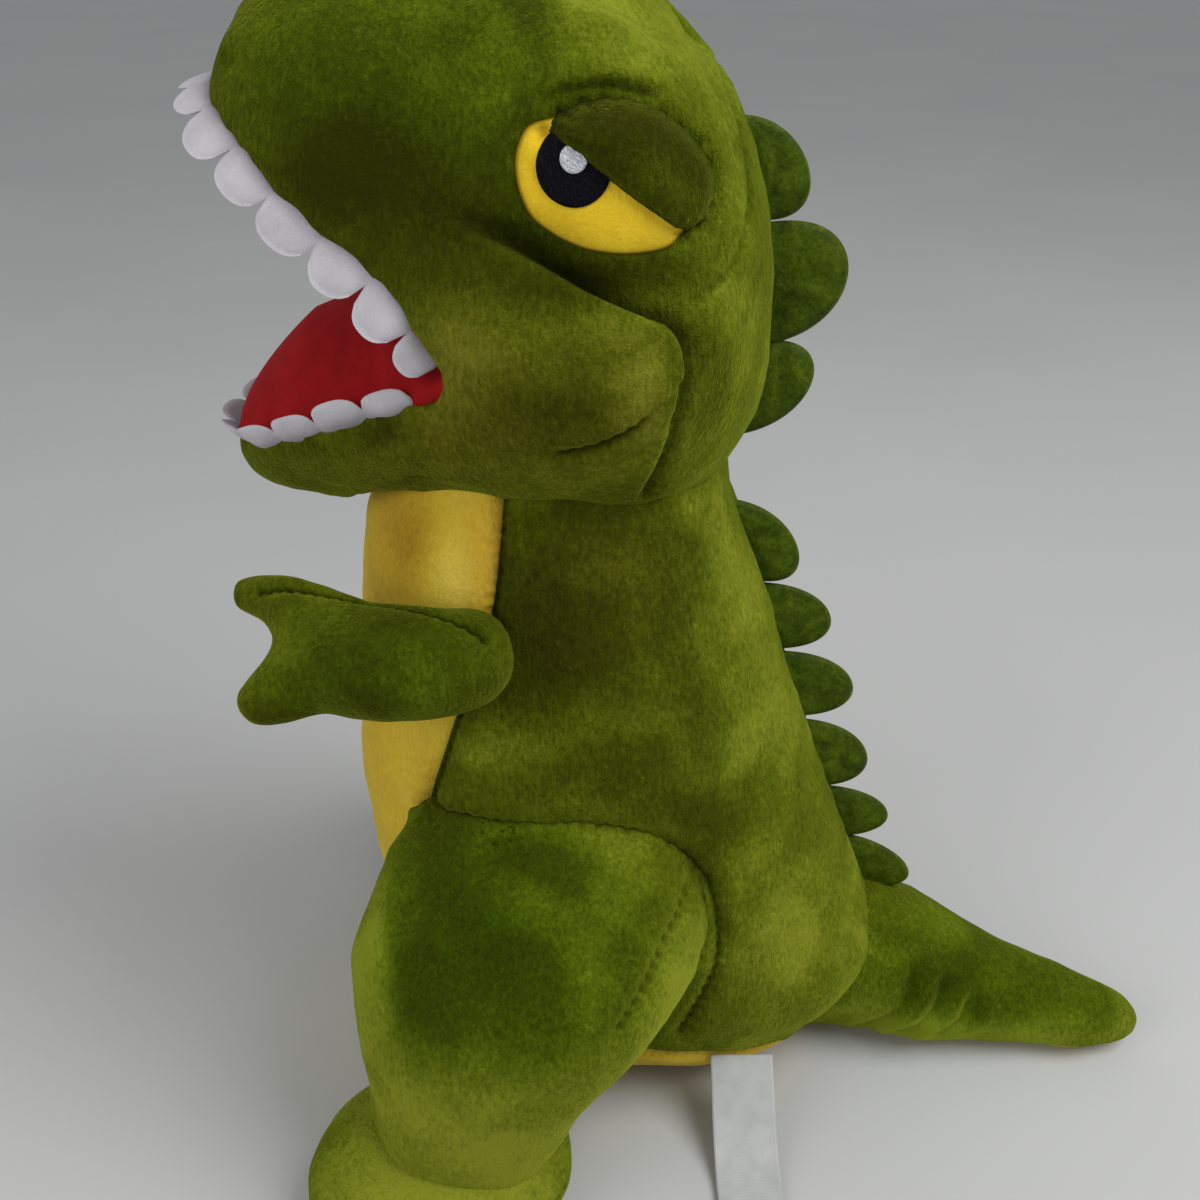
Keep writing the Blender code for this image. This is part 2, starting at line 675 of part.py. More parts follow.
def build_label():
    bm = bmesh.new()
    rows = []
    run = [Vector((x, z)) * CM for x, z in LABEL_RUN]
    for i, here in enumerate(run):
        along = (run[min(i + 1, len(run) - 1)] - run[max(i - 1, 0)]).normalized()
        normal = Vector((-along.y, along.x)) * (LABEL_THICKNESS / 2.0)
        corners = []
        for layer in (normal, -normal):
            for side in (-0.5, 0.5):
                y = LABEL_CENTRE_Y * CM + side * LABEL_WIDTH
                corners.append(bm.verts.new((here.x + layer.x, y, here.y + layer.y)))
        rows.append([corners[0], corners[1], corners[3], corners[2]])
    for first, second in zip(rows[:-1], rows[1:]):
        for i in range(4):
            j = (i + 1) % 4
            bm.faces.new([first[i], first[j], second[j], second[i]])
    bm.faces.new(rows[0])
    bm.faces.new(rows[-1])
    bmesh.ops.recalc_face_normals(bm, faces=bm.faces)
    label = cut(to_object(bm, "care_label"), solid(torso_skin, GAP))
    return finish(label, "care_label", WHITE, "label_satin", 0.5)


# ---- joints ----

def pivot(name, place, children):
    """An empty on a joint's axis that carries the pieces which move with it."""
    empty = bpy.data.objects.new(name, None)
    empty.empty_display_size = 0.02
    empty.location = place
    bpy.context.collection.objects.link(empty)
    bpy.context.view_layer.update()
    for child in children:
        child.parent = empty
        child.matrix_parent_inverse = empty.matrix_world.inverted()


def main():
    clear_scene()
    build_torso()
    head = build_head_covers() + [build_mouth_lining()] + build_teeth() + build_eyes()
    head_spikes, _ = build_spikes()
    build_leg()
    build_foot()
    arms = build_arms()
    tail = build_tail()
    build_label()
    pivot("neck_pivot", (*NECK_CENTRE, NECK_Z), head + head_spikes)
    for side, sign in (("left", 1.0), ("right", -1.0)):
        moved = [piece for piece in arms if piece.name.endswith(side)]
        pivot("shoulder_pivot_" + side, (sign * SHOULDER[0], SHOULDER[1], SHOULDER[2]), moved)
    pivot("tail_pivot", TAIL_ROOT, tail)


main()
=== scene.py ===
"""Looks of the stuffed dinosaur: plush covers blown up against their seams, felt teeth and
mouth, embroidered eyes, flat satin spikes and a care label.

The toy faces -Y, its left side is +X and it sits on Z = 0.  Shapes are given in centimetres
and turned into metres when a mesh is made; everything else is in metres.
"""

import math

import bmesh
import bpy
import numpy as np
from mathutils import Matrix, Vector, kdtree, noise
from mathutils.bvhtree import BVHTree


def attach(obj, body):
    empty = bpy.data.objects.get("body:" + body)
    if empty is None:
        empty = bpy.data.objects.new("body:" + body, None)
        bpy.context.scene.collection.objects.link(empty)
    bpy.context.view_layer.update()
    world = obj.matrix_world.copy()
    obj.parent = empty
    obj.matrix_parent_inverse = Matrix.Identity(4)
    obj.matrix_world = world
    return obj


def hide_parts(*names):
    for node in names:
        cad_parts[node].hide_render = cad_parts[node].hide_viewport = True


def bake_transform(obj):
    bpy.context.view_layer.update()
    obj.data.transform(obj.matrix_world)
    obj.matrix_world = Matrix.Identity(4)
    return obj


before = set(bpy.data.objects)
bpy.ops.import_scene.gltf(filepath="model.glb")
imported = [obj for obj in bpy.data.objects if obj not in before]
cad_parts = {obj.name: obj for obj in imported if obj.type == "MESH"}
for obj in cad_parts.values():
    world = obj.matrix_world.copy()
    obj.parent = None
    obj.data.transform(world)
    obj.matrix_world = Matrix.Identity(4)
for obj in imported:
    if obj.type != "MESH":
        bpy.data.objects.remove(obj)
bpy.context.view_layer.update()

CM = 0.01
LEVELS = 2      # subdivisions of a stuffed cover
LOFT_SIDES = 72
LOFT_RINGS = 60
PIN_REACH = 0.004                    # how far from a seam its hold on the cloth fades
CLOTH_PRESSURE = 4.0
CLOTH_FRAMES = 20
FLOOR_CLEARANCE = 0.0004
NECK_Z = 23.85                       # centimetres, like the sections below
NECK_CENTRE = (0.0, -1.2)
NECK_RECESS_RADIUS = 6.3
HEAD_POWER = 2.5                     # how square the head's sections are
# width of the dark line along a seam: its thread, with painted shade in its groove
SEAM_AND_SHADE_WIDTH = 0.0011
TAIL_SEAM_Z = 0.45
SIDES = (1, -1)                      # left, right


# ---- sections in centimetres: place along, centre x, centre of the other axis, half sizes ----
TORSO = (
    (-0.8, 0.0, 2.5, 0.4, 0.6),
    (-0.3, 0.0, 2.5, 2.8, 4.9),
    (0.5, 0.0, 2.0, 4.0, 6.2),
    (2.0, 0.0, 1.7, 5.3, 7.5),
    (4.5, 0.0, 1.75, 6.1, 8.85),
    (7.0, 0.0, 0.9, 6.4, 8.7),
    (10.0, 0.0, 0.2, 6.4, 8.4),
    (13.5, 0.0, -0.5, 6.3, 7.8),
    (17.0, 0.0, -0.95, 6.1, 7.15),
    (20.0, 0.0, -1.3, 5.9, 6.5),
    (22.5, 0.0, -1.55, 5.5, 5.75),
    (23.9, 0.0, -1.3, 5.1, 5.2),
    (25.4, 0.0, -1.2, 4.4, 4.5),
    (26.3, 0.0, -1.2, 2.6, 2.6),
    (26.6, 0.0, -1.2, 0.4, 0.4),
)
LEG = (
    (1.2, 7.7, -4.3, 0.4, 0.4),
    (1.6, 7.7, -4.3, 2.8, 2.6),
    (3.4, 7.8, -4.3, 3.6, 3.4),
    (5.2, 7.5, -3.8, 3.9, 3.95),
    (7.3, 7.2, -2.8, 4.2, 5.2),
    (9.2, 6.9, -2.1, 4.4, 5.9),
    (10.8, 6.4, -1.9, 4.1, 5.6),
    (12.3, 5.6, -1.8, 3.5, 5.0),
    (13.4, 4.6, -1.8, 2.8, 4.3),
    (14.4, 3.6, -1.8, 1.8, 2.9),
    (14.9, 3.0, -1.8, 0.4, 0.4),
)
HEAD = (
    (-11.4, 0.0, 27.4, 0.3, 0.5),
    (-11.1, 0.0, 28.1, 1.9, 4.0),
    (-10.4, 0.0, 29.1, 3.1, 5.95),
    (-9.5, 0.0, 29.8, 3.9, 6.95),
    (-8.2, 0.0, 30.2, 4.55, 7.45),
    (-6.4, 0.0, 30.45, 5.1, 7.75),
    (-4.2, 0.0, 30.55, 5.8, 7.85),
    (-2.0, 0.0, 30.5, 6.4, 7.9),
    (0.2, 0.0, 30.2, 6.7, 7.65),
    (2.2, 0.0, 29.7, 6.1, 6.6),
    (3.7, 0.0, 29.2, 4.7, 5.1),
    (4.7, 0.0, 28.9, 2.7, 2.9),
    (5.1, 0.0, 28.9, 0.3, 0.3),
)
TAIL = (
    (4.6, 0.2, 3.1, 0.4, 0.4),
    (5.2, 0.2, 3.1, 2.8, 3.05),
    (9.6, 0.3, 3.25, 2.9, 3.25),
    (11.7, 0.8, 2.8, 2.7, 2.85),
    (13.8, 1.2, 2.3, 2.3, 2.35),
    (16.0, 1.6, 1.8, 1.9, 1.85),
    (18.2, 2.0, 1.4, 1.5, 1.45),
    (19.7, 2.2, 1.2, 1.05, 1.1),
    (20.5, 2.3, 1.15, 0.6, 0.7),
    (20.8, 2.35, 1.15, 0.15, 0.2),
)
FOOT = (
    (-4.75, 0.0, 1.3, 0.3, 0.2),
    (-4.5, 0.0, 1.3, 1.5, 1.0),
    (-3.7, 0.0, 1.4, 2.6, 1.7),
    (-2.1, 0.0, 1.5, 3.6, 2.0),
    (0.0, 0.0, 1.5, 3.95, 2.1),
    (1.9, 0.0, 1.5, 3.6, 2.0),
    (3.3, 0.0, 1.4, 2.6, 1.7),
    (4.0, 0.0, 1.3, 1.5, 1.0),
    (4.25, 0.0, 1.3, 0.3, 0.2),
)
FOOT_CENTRE = (8.8, -5.2)
FOOT_SPLAY = math.radians(30.0)
FOOT_RING_PLACES = 160

# the left arm as balls along its two fingers: x, y, z, radius in centimetres
ARM = (((6.4, -3.9, 20.1, 1.5), (7.0, -4.7, 20.35, 1.6), (7.3, -5.8, 20.5, 1.68),
        (7.2, -6.8, 20.55, 1.62), (6.9, -7.6, 20.4, 1.45), (7.3, -8.6, 19.9, 1.1),
        (7.6, -9.45, 19.5, 0.8)),
       ((6.8, -7.2, 20.7, 1.45), (6.0, -8.3, 21.1, 1.1), (5.1, -9.4, 21.3, 0.8),
        (4.6, -10.25, 21.2, 0.6)))

REAR_TURN_IN = 0.018                 # how far the thigh's rear edge turns in to the rump, metres
RIGHT_ARM_LIFT = math.radians(6.0)
SHOULDER = (0.0, -0.034, 0.203)

# ---- outlines and seams in the side view: (y, z) in centimetres ----
MOUTH = ((-14.0, 36.4), (-10.3, 34.4), (-7.6, 31.95), (-5.1, 29.85), (-4.0, 28.6), (-3.85, 28.0),
         (-4.5, 27.5), (-7.0, 26.7), (-10.2, 25.3), (-14.0, 23.9))
BELLY = ((-2.5, 28.0), (-2.6, 26.0), (-2.9, 22.5), (-3.4, 20.0), (-4.5, 17.0), (-5.4, 14.0),
         (-5.5, 12.7), (-5.2, 10.0), (-4.5, 7.0), (-3.3, 4.9), (-1.3, 3.9), (2.5, 3.1), (6.5, 1.8),
         (9.0, 0.7), (13.5, 0.5), (13.5, -3.0), (-12.0, -3.0), (-12.0, 28.0))
CHEEK_SEAM = ((1.3, 24.6), (1.85, 26.5), (1.95, 28.4))
NAPE_SEAM = ((1.8, 29.6), (2.3, 30.3), (3.4, 31.0), (3.9, 32.6), (3.2, 35.2), (1.6, 38.0))
HEAD_BACK = ((1.5, 20.0), (1.5, 24.0), (1.85, 26.5), (2.0, 28.4), *NAPE_SEAM, (0.8, 41.0),
             (9.0, 41.0), (9.0, 20.0))
EYE_PATCH = ((-1.95, 34.2), (-2.04, 33.7), (-1.9, 33.0), (-1.5, 32.35), (-0.5, 31.8),
             (1.0, 31.65), (1.85, 31.85), (2.2, 32.4), (1.8, 33.5), (0.8, 34.45), (-0.3, 34.82),
             (-1.15, 34.76), (-1.7, 34.6))
EYELID_ROUND = ((-1.3, 34.45), (-1.1, 34.75), (-0.5, 35.05), (0.4, 35.15), (1.3, 34.87),
                (2.15, 34.2), (2.75, 33.4), (2.82, 32.75), (2.6, 32.25), (2.1, 32.02))
PUPIL = ((-0.62, 33.72), 0.90)
GLINT = ((-0.62, 33.93), 0.33)
CIRCLE_PLACES = 72
UNDER_EYE_FOLD = ((-3.5, 32.3), (-2.9, 32.1), (-2.1, 31.7), (-1.2, 31.25), (0.0, 30.6),
                  (0.9, 30.2), (1.6, 29.9), (1.95, 29.3), (2.0, 28.4), (1.9, 27.2))
BROW_CREASE = ((-0.6, 37.3), (0.7, 36.8), (1.5, 36.3), (2.4, 36.0))
LID_CREASE = ((-1.3, 35.2), (-0.5, 35.45), (0.4, 35.45), (1.3, 35.2))
FOREHEAD = ((-1.2, 35.5), (-1.1, 36.5), (-0.9, 38.6), (3.0, 39.0), (4.3, 37.0), (4.2, 35.4),
            (3.9, 34.2), (3.2, 34.0), (2.6, 34.9), (1.6, 35.5), (0.5, 35.6))
SNOUT_DARK = ((-1.5, 35.0), (-1.3, 36.5), (-1.1, 38.9), (-6.0, 39.5), (-13.0, 37.5), (-11.5, 34.4),
              (-8.2, 32.6), (-5.0, 31.6), (-3.2, 32.4), (-2.6, 34.2))
BELLY_ROLL = ((-0.6, 13.9), (-2.5, 14.15), (-4.0, 14.1), (-5.4, 13.8))
HIP_SEAM = ((-5.3, 13.8), (-2.5, 14.1), (0.0, 13.8), (1.6, 13.2), (3.2, 11.8), (3.9, 9.9),
            (3.9, 7.5), (2.8, 4.6))
THIGH_DARK = ((-5.8, 13.4), (-4.5, 14.0), (-0.9, 13.6), (2.2, 12.0), (1.0, 10.6), (-1.4, 9.0),
              (-3.4, 9.6), (-4.6, 9.2), (-6.2, 9.8), (-6.5, 11.0), (-5.4, 12.2))

# each spike: root top, tip, root bottom
HEAD_SPIKES = (((3.6, 33.9), (5.9, 32.5), (4.6, 31.0)),
               ((4.5, 30.9), (7.3, 29.5), (4.5, 27.2)),
               ((4.5, 27.4), (6.5, 26.1), (3.7, 24.3)))
BACK_SPIKES = (((4.0, 22.2), (6.5, 20.4), (5.0, 19.2)),
               ((4.8, 19.1), (7.8, 17.8), (5.6, 16.5)),
               ((5.6, 16.4), (8.8, 15.1), (6.5, 13.7)),
               ((6.4, 13.6), (9.6, 12.1), (7.4, 10.6)),
               ((7.4, 10.6), (10.6, 9.5), (8.5, 8.3)),
               ((8.2, 8.5), (11.6, 6.9), (9.9, 5.9)))

# lips from the left corner to the front, (x, y, z) in centimetres
UPPER_LIP = ((5.3, -3.9, 28.7), (5.3, -5.0, 30.1), (5.0, -6.3, 31.15), (4.5, -7.55, 32.3),
             (3.8, -8.85, 33.45), (2.5, -9.85, 34.4), (1.2, -10.45, 34.85), (0.0, -10.65, 34.95))
LOWER_LIP = ((5.1, -5.0, 27.45), (4.85, -6.3, 27.1), (4.45, -7.6, 26.65), (3.85, -8.9, 26.05),
             (2.9, -10.1, 25.5), (1.5, -10.9, 25.2), (0.0, -11.15, 25.1))
UPPER_TEETH = 15
LOWER_TEETH = 11
TOOTH_TUCK = 0.0022                  # how far the felt runs on behind the lip, metres

LABEL_RUN = ((5.3, 2.55), (6.2, 1.85), (6.9, 1.25), (7.6, 0.72), (8.3, 0.35), (9.1, 0.15),
             (10.0, 0.09), (11.3, 0.09))
LABEL_CENTRE_Y = 5.1
LABEL_WIDTH = 0.0225

TORSO_BACK = ((4.3, 23.5), (5.0, 20.0), (5.9, 17.0), (7.1, 13.0), (8.3, 9.0), (9.6, 6.5))
HEAD_MIDDLE = ((1.4, 38.0), (3.0, 35.5), (4.3, 32.5), (5.2, 29.5), (4.6, 26.5), (4.0, 24.5))
CHEEK_DART = ((1.9, 28.4), (1.0, 27.3), (0.0, 26.7), (-1.0, 26.4))
BROW_SEAM = ((-0.9, 37.6), (-1.1, 36.6), (-1.3, 35.6))
THIGH_DART = ((2.9, 11.6), (2.1, 11.0), (1.3, 10.3), (0.5, 9.5))
TAIL_SEAM = ((9.0, TAIL_SEAM_Z), (14.0, TAIL_SEAM_Z), (20.6, TAIL_SEAM_Z))
TAIL_CREASES = (((10.2, 1.2), (11.6, 4.4)), ((11.4, 1.3), (12.7, 3.9)), ((12.8, 1.4), (13.7, 3.0)))
NOSTRILS = ((2.6, -9.3, 35.6, 0.35), (1.1, -9.9, 36.1, 0.3))        # x, y, z, radius
LINING_RUN = ((-10.7, 34.45), (-9.2, 33.35), (-7.6, 31.9), (-5.1, 29.75), (-4.1, 28.6),
              (-4.0, 28.0), (-4.7, 27.45), (-7.0, 26.65), (-9.4, 25.75), (-10.75, 25.3))
LINING_CORNER = 0.52                 # where on the run the mouth's corner is
LINING_INSET = 0.36                  # how far the felt stays inside the lips, centimetres
CUSHION_HEIGHT = 1.95
ARM_SEAM = ((7.1, -3.2), (6.9, -5.0), (6.4, -7.0), (5.9, -8.6), (5.5, -9.8))     # x, y

# soft bumps and hollows (height in metres), then brushed pile with painted light and shade, and
# tinted places in the pile:
# x, y, z and radius in centimetres, amount, and how far it is stretched along x, y and z
TORSO_BUMPS = (
    (5.8, -3.6, 15.7, 1.9, 0.0036, 1.4, 1.2, 0.8),      # roll over the hip
    (5.8, -1.0, 17.9, 2.0, -0.0014, 1.4, 1.6, 0.6),
    (3.6, 7.4, 5.5, 3.5, 0.0022),
)
TORSO_NAP_LIGHT_AND_SHADE = (
    (5.5, -1.5, 21.0, 3.4, -0.26, 1.0, 0.9, 1.1),
    (5.8, 0.5, 16.5, 3.0, -0.10),
    (5.8, -3.2, 16.3, 1.6, 0.24, 1.5, 1.0, 0.8),
    (3.0, 6.0, 17.5, 3.4, 0.18, 1.0, 0.8, 2.0),
    (4.5, 6.8, 6.0, 4.2, 0.22),
    (5.6, 3.4, 12.9, 1.6, -0.20),
    (5.2, 4.6, 11.6, 1.1, 0.22),
    # painted light on the belly by the green edge, then painted shade on it under the jaw and down
    # its front
    (5.0, -4.3, 22.0, 1.3, 0.55, 1.5, 0.8, 1.4),
    (5.0, -5.9, 23.0, 1.5, -0.50, 1.5, 0.9, 1.0),
    (3.0, -7.6, 19.5, 1.6, -0.25, 1.0, 1.0, 2.2),
)
TORSO_TINTED = (
    # browner pile painted into the shade under the head
    (5.8, -0.2, 21.8, 3.0, -0.7, 1.0, 1.0, 1.1),
    (5.5, 1.0, 9.0, 3.0, 0.25),
)
HEAD_BUMPS = (
    (6.2, -1.0, 28.6, 2.3, 0.0062, 1.3, 1.2, 0.85),     # cheek
    (6.0, -2.9, 30.2, 1.4, 0.0026, 1.3, 1.0, 1.0),      # before the cheek
    (6.3, 0.9, 31.1, 1.5, -0.0052, 1.4, 1.5, 0.62),     # under the eye
    (6.3, -1.6, 31.9, 1.1, -0.0026, 1.4, 1.3, 0.6),
    (6.3, 0.0, 33.2, 1.7, -0.0014, 1.4, 1.2, 1.0),      # eye socket
    (6.0, 0.2, 36.3, 1.4, 0.0028, 1.3, 1.6, 0.7),       # brow
    (5.2, -4.0, 33.6, 1.8, -0.0016, 1.4, 1.0, 1.3),     # beside the snout
    (4.6, -6.8, 34.0, 2.2, 0.0016),                     # snout
    (2.6, -9.6, 36.0, 0.8, 0.0018),                     # nostril rim
    (5.6, -3.2, 25.6, 2.4, 0.0022),                     # jaw corner
)
HEAD_NAP_AND_SHADE = (
    (4.6, -6.6, 32.8, 2.8, -0.28, 1.5, 1.0, 0.8),
    (3.4, -7.0, 35.6, 3.4, -0.14, 1.5, 1.4, 0.8),
    (5.4, -3.4, 32.6, 1.6, -0.20),
    (5.0, 1.4, 37.2, 2.4, 0.08, 1.5, 1.1, 0.8),
    (5.8, -3.4, 29.6, 1.4, 0.15, 1.5, 0.7, 1.4),
    # painted shade under the cheek's bulge
    (6.4, -1.2, 27.7, 1.7, -0.32, 1.5, 1.0, 1.0),
    (6.2, -0.6, 30.0, 1.1, 0.26, 1.5, 1.5, 0.7),
    (6.2, 1.3, 28.4, 0.8, 0.34, 2.0, 0.8, 1.6),
    # darker pile and painted shade in the hollow under the eye
    (6.3, 0.3, 31.0, 1.3, -0.42, 1.5, 1.8, 0.5),
    # painted shade on the jaw under the head
    (5.0, -5.4, 25.2, 3.0, -0.18),
    (5.0, 4.2, 30.0, 2.2, 0.06, 1.5, 0.8, 2.2),
)
HEAD_TINTED = (
    (4.4, -5.0, 35.8, 3.8, 0.55, 1.5, 1.2, 0.8),
    # the next two: browner pile painted into the shade under the cheek and on the jaw
    (6.2, -1.0, 27.8, 2.5, -0.75, 1.5, 1.1, 1.0),
    (5.0, -5.0, 26.2, 2.8, -0.60, 1.5, 1.2, 0.8),
    (5.4, -3.8, 29.8, 1.8, -0.45, 1.5, 0.8, 1.3),
)
LEG_BUMPS = (
    (9.0, -7.4, 11.5, 2.6, 0.0016),
)
LEG_NAP_AND_LIGHT = (
    (9.5, -4.0, 12.2, 3.0, -0.10, 1.2, 1.1, 0.8),
    # painted sheen low on the thigh
    (9.5, -3.0, 4.8, 2.8, 0.50, 1.5, 1.6, 0.9),
    (9.0, 0.5, 7.8, 2.6, 0.22, 1.5, 1.2, 1.0),
    (9.5, -5.6, 7.0, 2.2, 0.30, 1.5, 1.1, 0.9),
    (9.5, -2.4, 8.4, 1.7, 0.16, 1.5, 1.1, 1.0),
    # painted sheen on the thigh's front edge
    (8.0, -7.8, 11.4, 1.5, 0.50, 1.5, 0.9, 1.5),
    (7.4, 2.6, 8.6, 2.0, 0.44, 1.6, 0.9, 1.5),
)
LEG_TINTED = (
    (9.5, -3.4, 11.6, 3.4, 0.95, 1.5, 1.2, 0.9),
    (9.5, -4.5, 5.0, 2.6, -0.15, 1.5, 1.3, 0.9),
)
FOOT_BRUSHED = (
    (9.0, -5.0, 3.4, 3.5, 0.52),
)
ARM_BRUSHED = (
    (8.6, -6.5, 20.6, 2.6, -0.34),
    (8.2, -9.4, 19.6, 1.4, -0.20),
)
ARM_TINTED = (
    (8.0, -6.0, 20.6, 3.2, 0.45),
)
TAIL_NAP_AND_LIGHT = (
    (3.6, 13.6, 3.4, 2.0, -0.24, 1.0, 1.5, 0.7),
    # painted light on the tail's lower side, which faces down into shade
    (3.6, 11.4, 1.4, 1.8, 0.80, 1.5, 1.4, 0.8),
    (3.2, 16.5, 1.0, 2.2, 0.38, 1.0, 1.5, 0.6),
)
TAIL_TINTED = (
    (3.0, 14.5, 3.2, 3.6, 0.80, 1.5, 1.6, 0.8),
)


# ---- curves and lofts ----

def spline(points, count, closed=False):
    """Evenly spaced places on a smooth curve through the points."""
    given = np.array(points, float)
    if closed:
        given = np.vstack([given[-1:], given, given[:2]])
    else:
        given = np.vstack([2 * given[0] - given[1], given, 2 * given[-1] - given[-2]])
    t = np.linspace(0.0, 1.0, 16, endpoint=False)[:, None]
    parts = []
    for a, b, c, d in zip(given[:-3], given[1:-2], given[2:-1], given[3:]):
        parts.append(0.5 * (2 * b + (c - a) * t + (2 * a - 5 * b + 4 * c - d) * t ** 2
                            + (3 * b - a - 3 * c + d) * t ** 3))
    fine = np.vstack(parts + [given[1:2] if closed else given[-2:-1]])
    run = np.r_[0.0, np.cumsum(np.linalg.norm(np.diff(fine, axis=0), axis=1))]
    places = np.linspace(0.0, run[-1], count, endpoint=not closed)
    return np.column_stack([np.interp(places, run, fine[:, k]) for k in range(fine.shape[1])])


def unit(vector):
    return vector / np.linalg.norm(vector)


def heading(places, i):
    """Which way a row of places runs at one of them."""
    return unit(places[min(i + 1, len(places) - 1)] - places[max(i - 1, 0)])


def half_width(sections, along, other, power):
    """How far a lofted form reaches sideways at a place in the side view, in centimetres."""
    table = np.array(sections)
    centre, half_x, half_v = [np.interp(along, table[:, 0], table[:, k]) for k in (2, 3, 4)]
    rest = 1.0 - np.minimum(np.abs((other - centre) / half_v), 1.0) ** power
    return half_x * rest ** (1.0 / power)


def add_object(name, data):
    made = bpy.data.objects.new(name, data)
    bpy.context.scene.collection.objects.link(made)
    return made


def new_object(name, vertices, faces):
    mesh = bpy.data.meshes.new(name)
    mesh.from_pydata([tuple(v) for v in vertices], [], faces)
    mesh.update()
    return add_object(name, mesh)


def grid_faces(rows, columns, closed):
    """Quads over rows of vertices, each row closed into a ring or left open."""
    faces = []
    for r in range(rows - 1):
        for c in range(columns if closed else columns - 1):
            d = (c + 1) % columns
            faces.append((r * columns + c, r * columns + d,
                          (r + 1) * columns + d, (r + 1) * columns + c))
    return faces


def capped_faces(rows, columns):
    """Quads over closed rings of vertices, with the first and last ring filled."""
    ends = [tuple(range(columns)), tuple(range((rows - 1) * columns, rows * columns))]
    return grid_faces(rows, columns, True) + ends


def loft(name, sections, upright, power):
    """A closed form through superellipse sections, upright along y or level along z."""
    angle = (np.arange(LOFT_SIDES) + 0.5) * 2.0 * np.pi / LOFT_SIDES
    c = np.sign(np.cos(angle)) * np.abs(np.cos(angle)) ** (2.0 / power)
    s = np.sign(np.sin(angle)) * np.abs(np.sin(angle)) ** (2.0 / power)
    points = []
    for along, centre_x, centre_v, half_x, half_v in spline(sections, LOFT_RINGS):
        u = centre_x + max(half_x, 0.02) * c
        v = centre_v + max(half_v, 0.02) * s
        flat = np.full(LOFT_SIDES, along)
        points.append(np.column_stack([u, flat, v] if upright else [u, v, flat]))
    made = new_object(name, np.vstack(points) * CM, capped_faces(LOFT_RINGS, LOFT_SIDES))
    tidy_normals(made)
    return made


def rest_on_floor(obj):
    """Flatten what hangs below the floor."""
    points = coordinates(obj.data)
    points[:, 2] = np.maximum(points[:, 2], 0.0)
    set_coordinates(obj.data, points)
    return obj


def from_bmesh(name, bm):
    mesh = bpy.data.meshes.new(name)
    bm.to_mesh(mesh)
    bm.free()
    return add_object(name, mesh)


def tidy_normals(obj):
    bm = bmesh.new()
    bm.from_mesh(obj.data)
    bmesh.ops.recalc_face_normals(bm, faces=bm.faces)
    bm.to_mesh(obj.data)
    bm.free()


def coordinates(mesh):
    out = np.empty(len(mesh.vertices) * 3)
    mesh.vertices.foreach_get("co", out)
    return out.reshape(-1, 3)


def set_coordinates(mesh, points):
    mesh.vertices.foreach_set("co", np.ascontiguousarray(points, float).ravel())
    mesh.update()


def apply_modifiers(obj):
    graph = bpy.context.evaluated_depsgraph_get()
    made = bpy.data.meshes.new_from_object(obj.evaluated_get(graph))
    obj.modifiers.clear()
    used = obj.data
    obj.data = made
    bpy.data.meshes.remove(used)


def knit(obj, voxel, rounds=4):
    """Turn the form into one even net of quads with rounded corners, and give its points."""
    remesh = obj.modifiers.new("remesh", "REMESH")
    remesh.mode = "VOXEL"
    remesh.voxel_size = voxel
    smooth = obj.modifiers.new("smooth", "SMOOTH")
    smooth.factor = 0.5
    smooth.iterations = rounds
    apply_modifiers(obj)
    return coordinates(obj.data)


def thicken(obj, thickness, offset):
    """Give a sheet its thickness: on both sides with offset 0, on one with -1 or 1."""
    shell = obj.modifiers.new("cloth", "SOLIDIFY")
    shell.thickness = thickness
    shell.offset = offset
    apply_modifiers(obj)
    tidy_normals(obj)
    obj.data.shade_smooth()


def side_path(outline, tree, side, count):
    """A side-view line laid on a form's left (side 1) or right (side -1) surface."""
    path = []
    for y, z in spline(outline, count) * CM:
        hit = tree.ray_cast(Vector((side * 0.4, y, z)), Vector((-side, 0.0, 0.0)))[0]
        if hit is not None:
            path.append(hit)
    return path


def tree_of(obj):
    return BVHTree.FromObject(obj, bpy.context.evaluated_depsgraph_get())


def nearest(points, path, within):
    """Each point's distance to a path, how far along the nearest place is, and which it is."""
    distance = np.full(len(points), within * 2.0)
    along = np.zeros(len(points))
    which = np.full(len(points), -1)
    if not path:
        return distance, along, which
    run = [0.0]
    for a, b in zip(path[:-1], path[1:]):
        run.append(run[-1] + (b - a).length)
    tree = kdtree.KDTree(len(path))
    for i, place in enumerate(path):
        tree.insert(place, i)
    tree.balance()
    corners = np.array(path)
    close = np.all((points > corners.min(axis=0) - within)
                   & (points < corners.max(axis=0) + within), axis=1)
    for i in np.nonzero(close)[0]:
        _, index, found = tree.find(points[i])
        distance[i] = found
        along[i] = run[index]
        which[i] = index
    return distance, along, which


def stuff(obj, pins, cap):
    """Blow a cover up with a cloth simulation while its seams hold, by no more than cap."""
    scene = bpy.context.scene
    start = coordinates(obj.data)
    seams = obj.vertex_groups.new(name="seams")
    for i in np.nonzero(pins > 0.02)[0]:
        seams.add([int(i)], float(min(pins[i], 1.0)), "REPLACE")
    cloth = obj.modifiers.new("cloth", "CLOTH")
    settings = cloth.settings
    settings.quality = 4
    settings.use_pressure = True
    settings.uniform_pressure_force = CLOTH_PRESSURE
    settings.vertex_group_mass = "seams"
    settings.effector_weights.gravity = 0.0
    cloth.collision_settings.use_collision = False
    for number in range(1, CLOTH_FRAMES + 1):
        scene.frame_set(number)
    moved = coordinates(obj.evaluated_get(bpy.context.evaluated_depsgraph_get()).data)
    step = moved - start
    length = np.linalg.norm(step, axis=1)
    step *= (cap * np.tanh(length / cap) / np.maximum(length, 1e-9))[:, None]
    obj.modifiers.clear()
    obj.vertex_groups.clear()
    set_coordinates(obj.data, start + step)
    scene.frame_set(1)


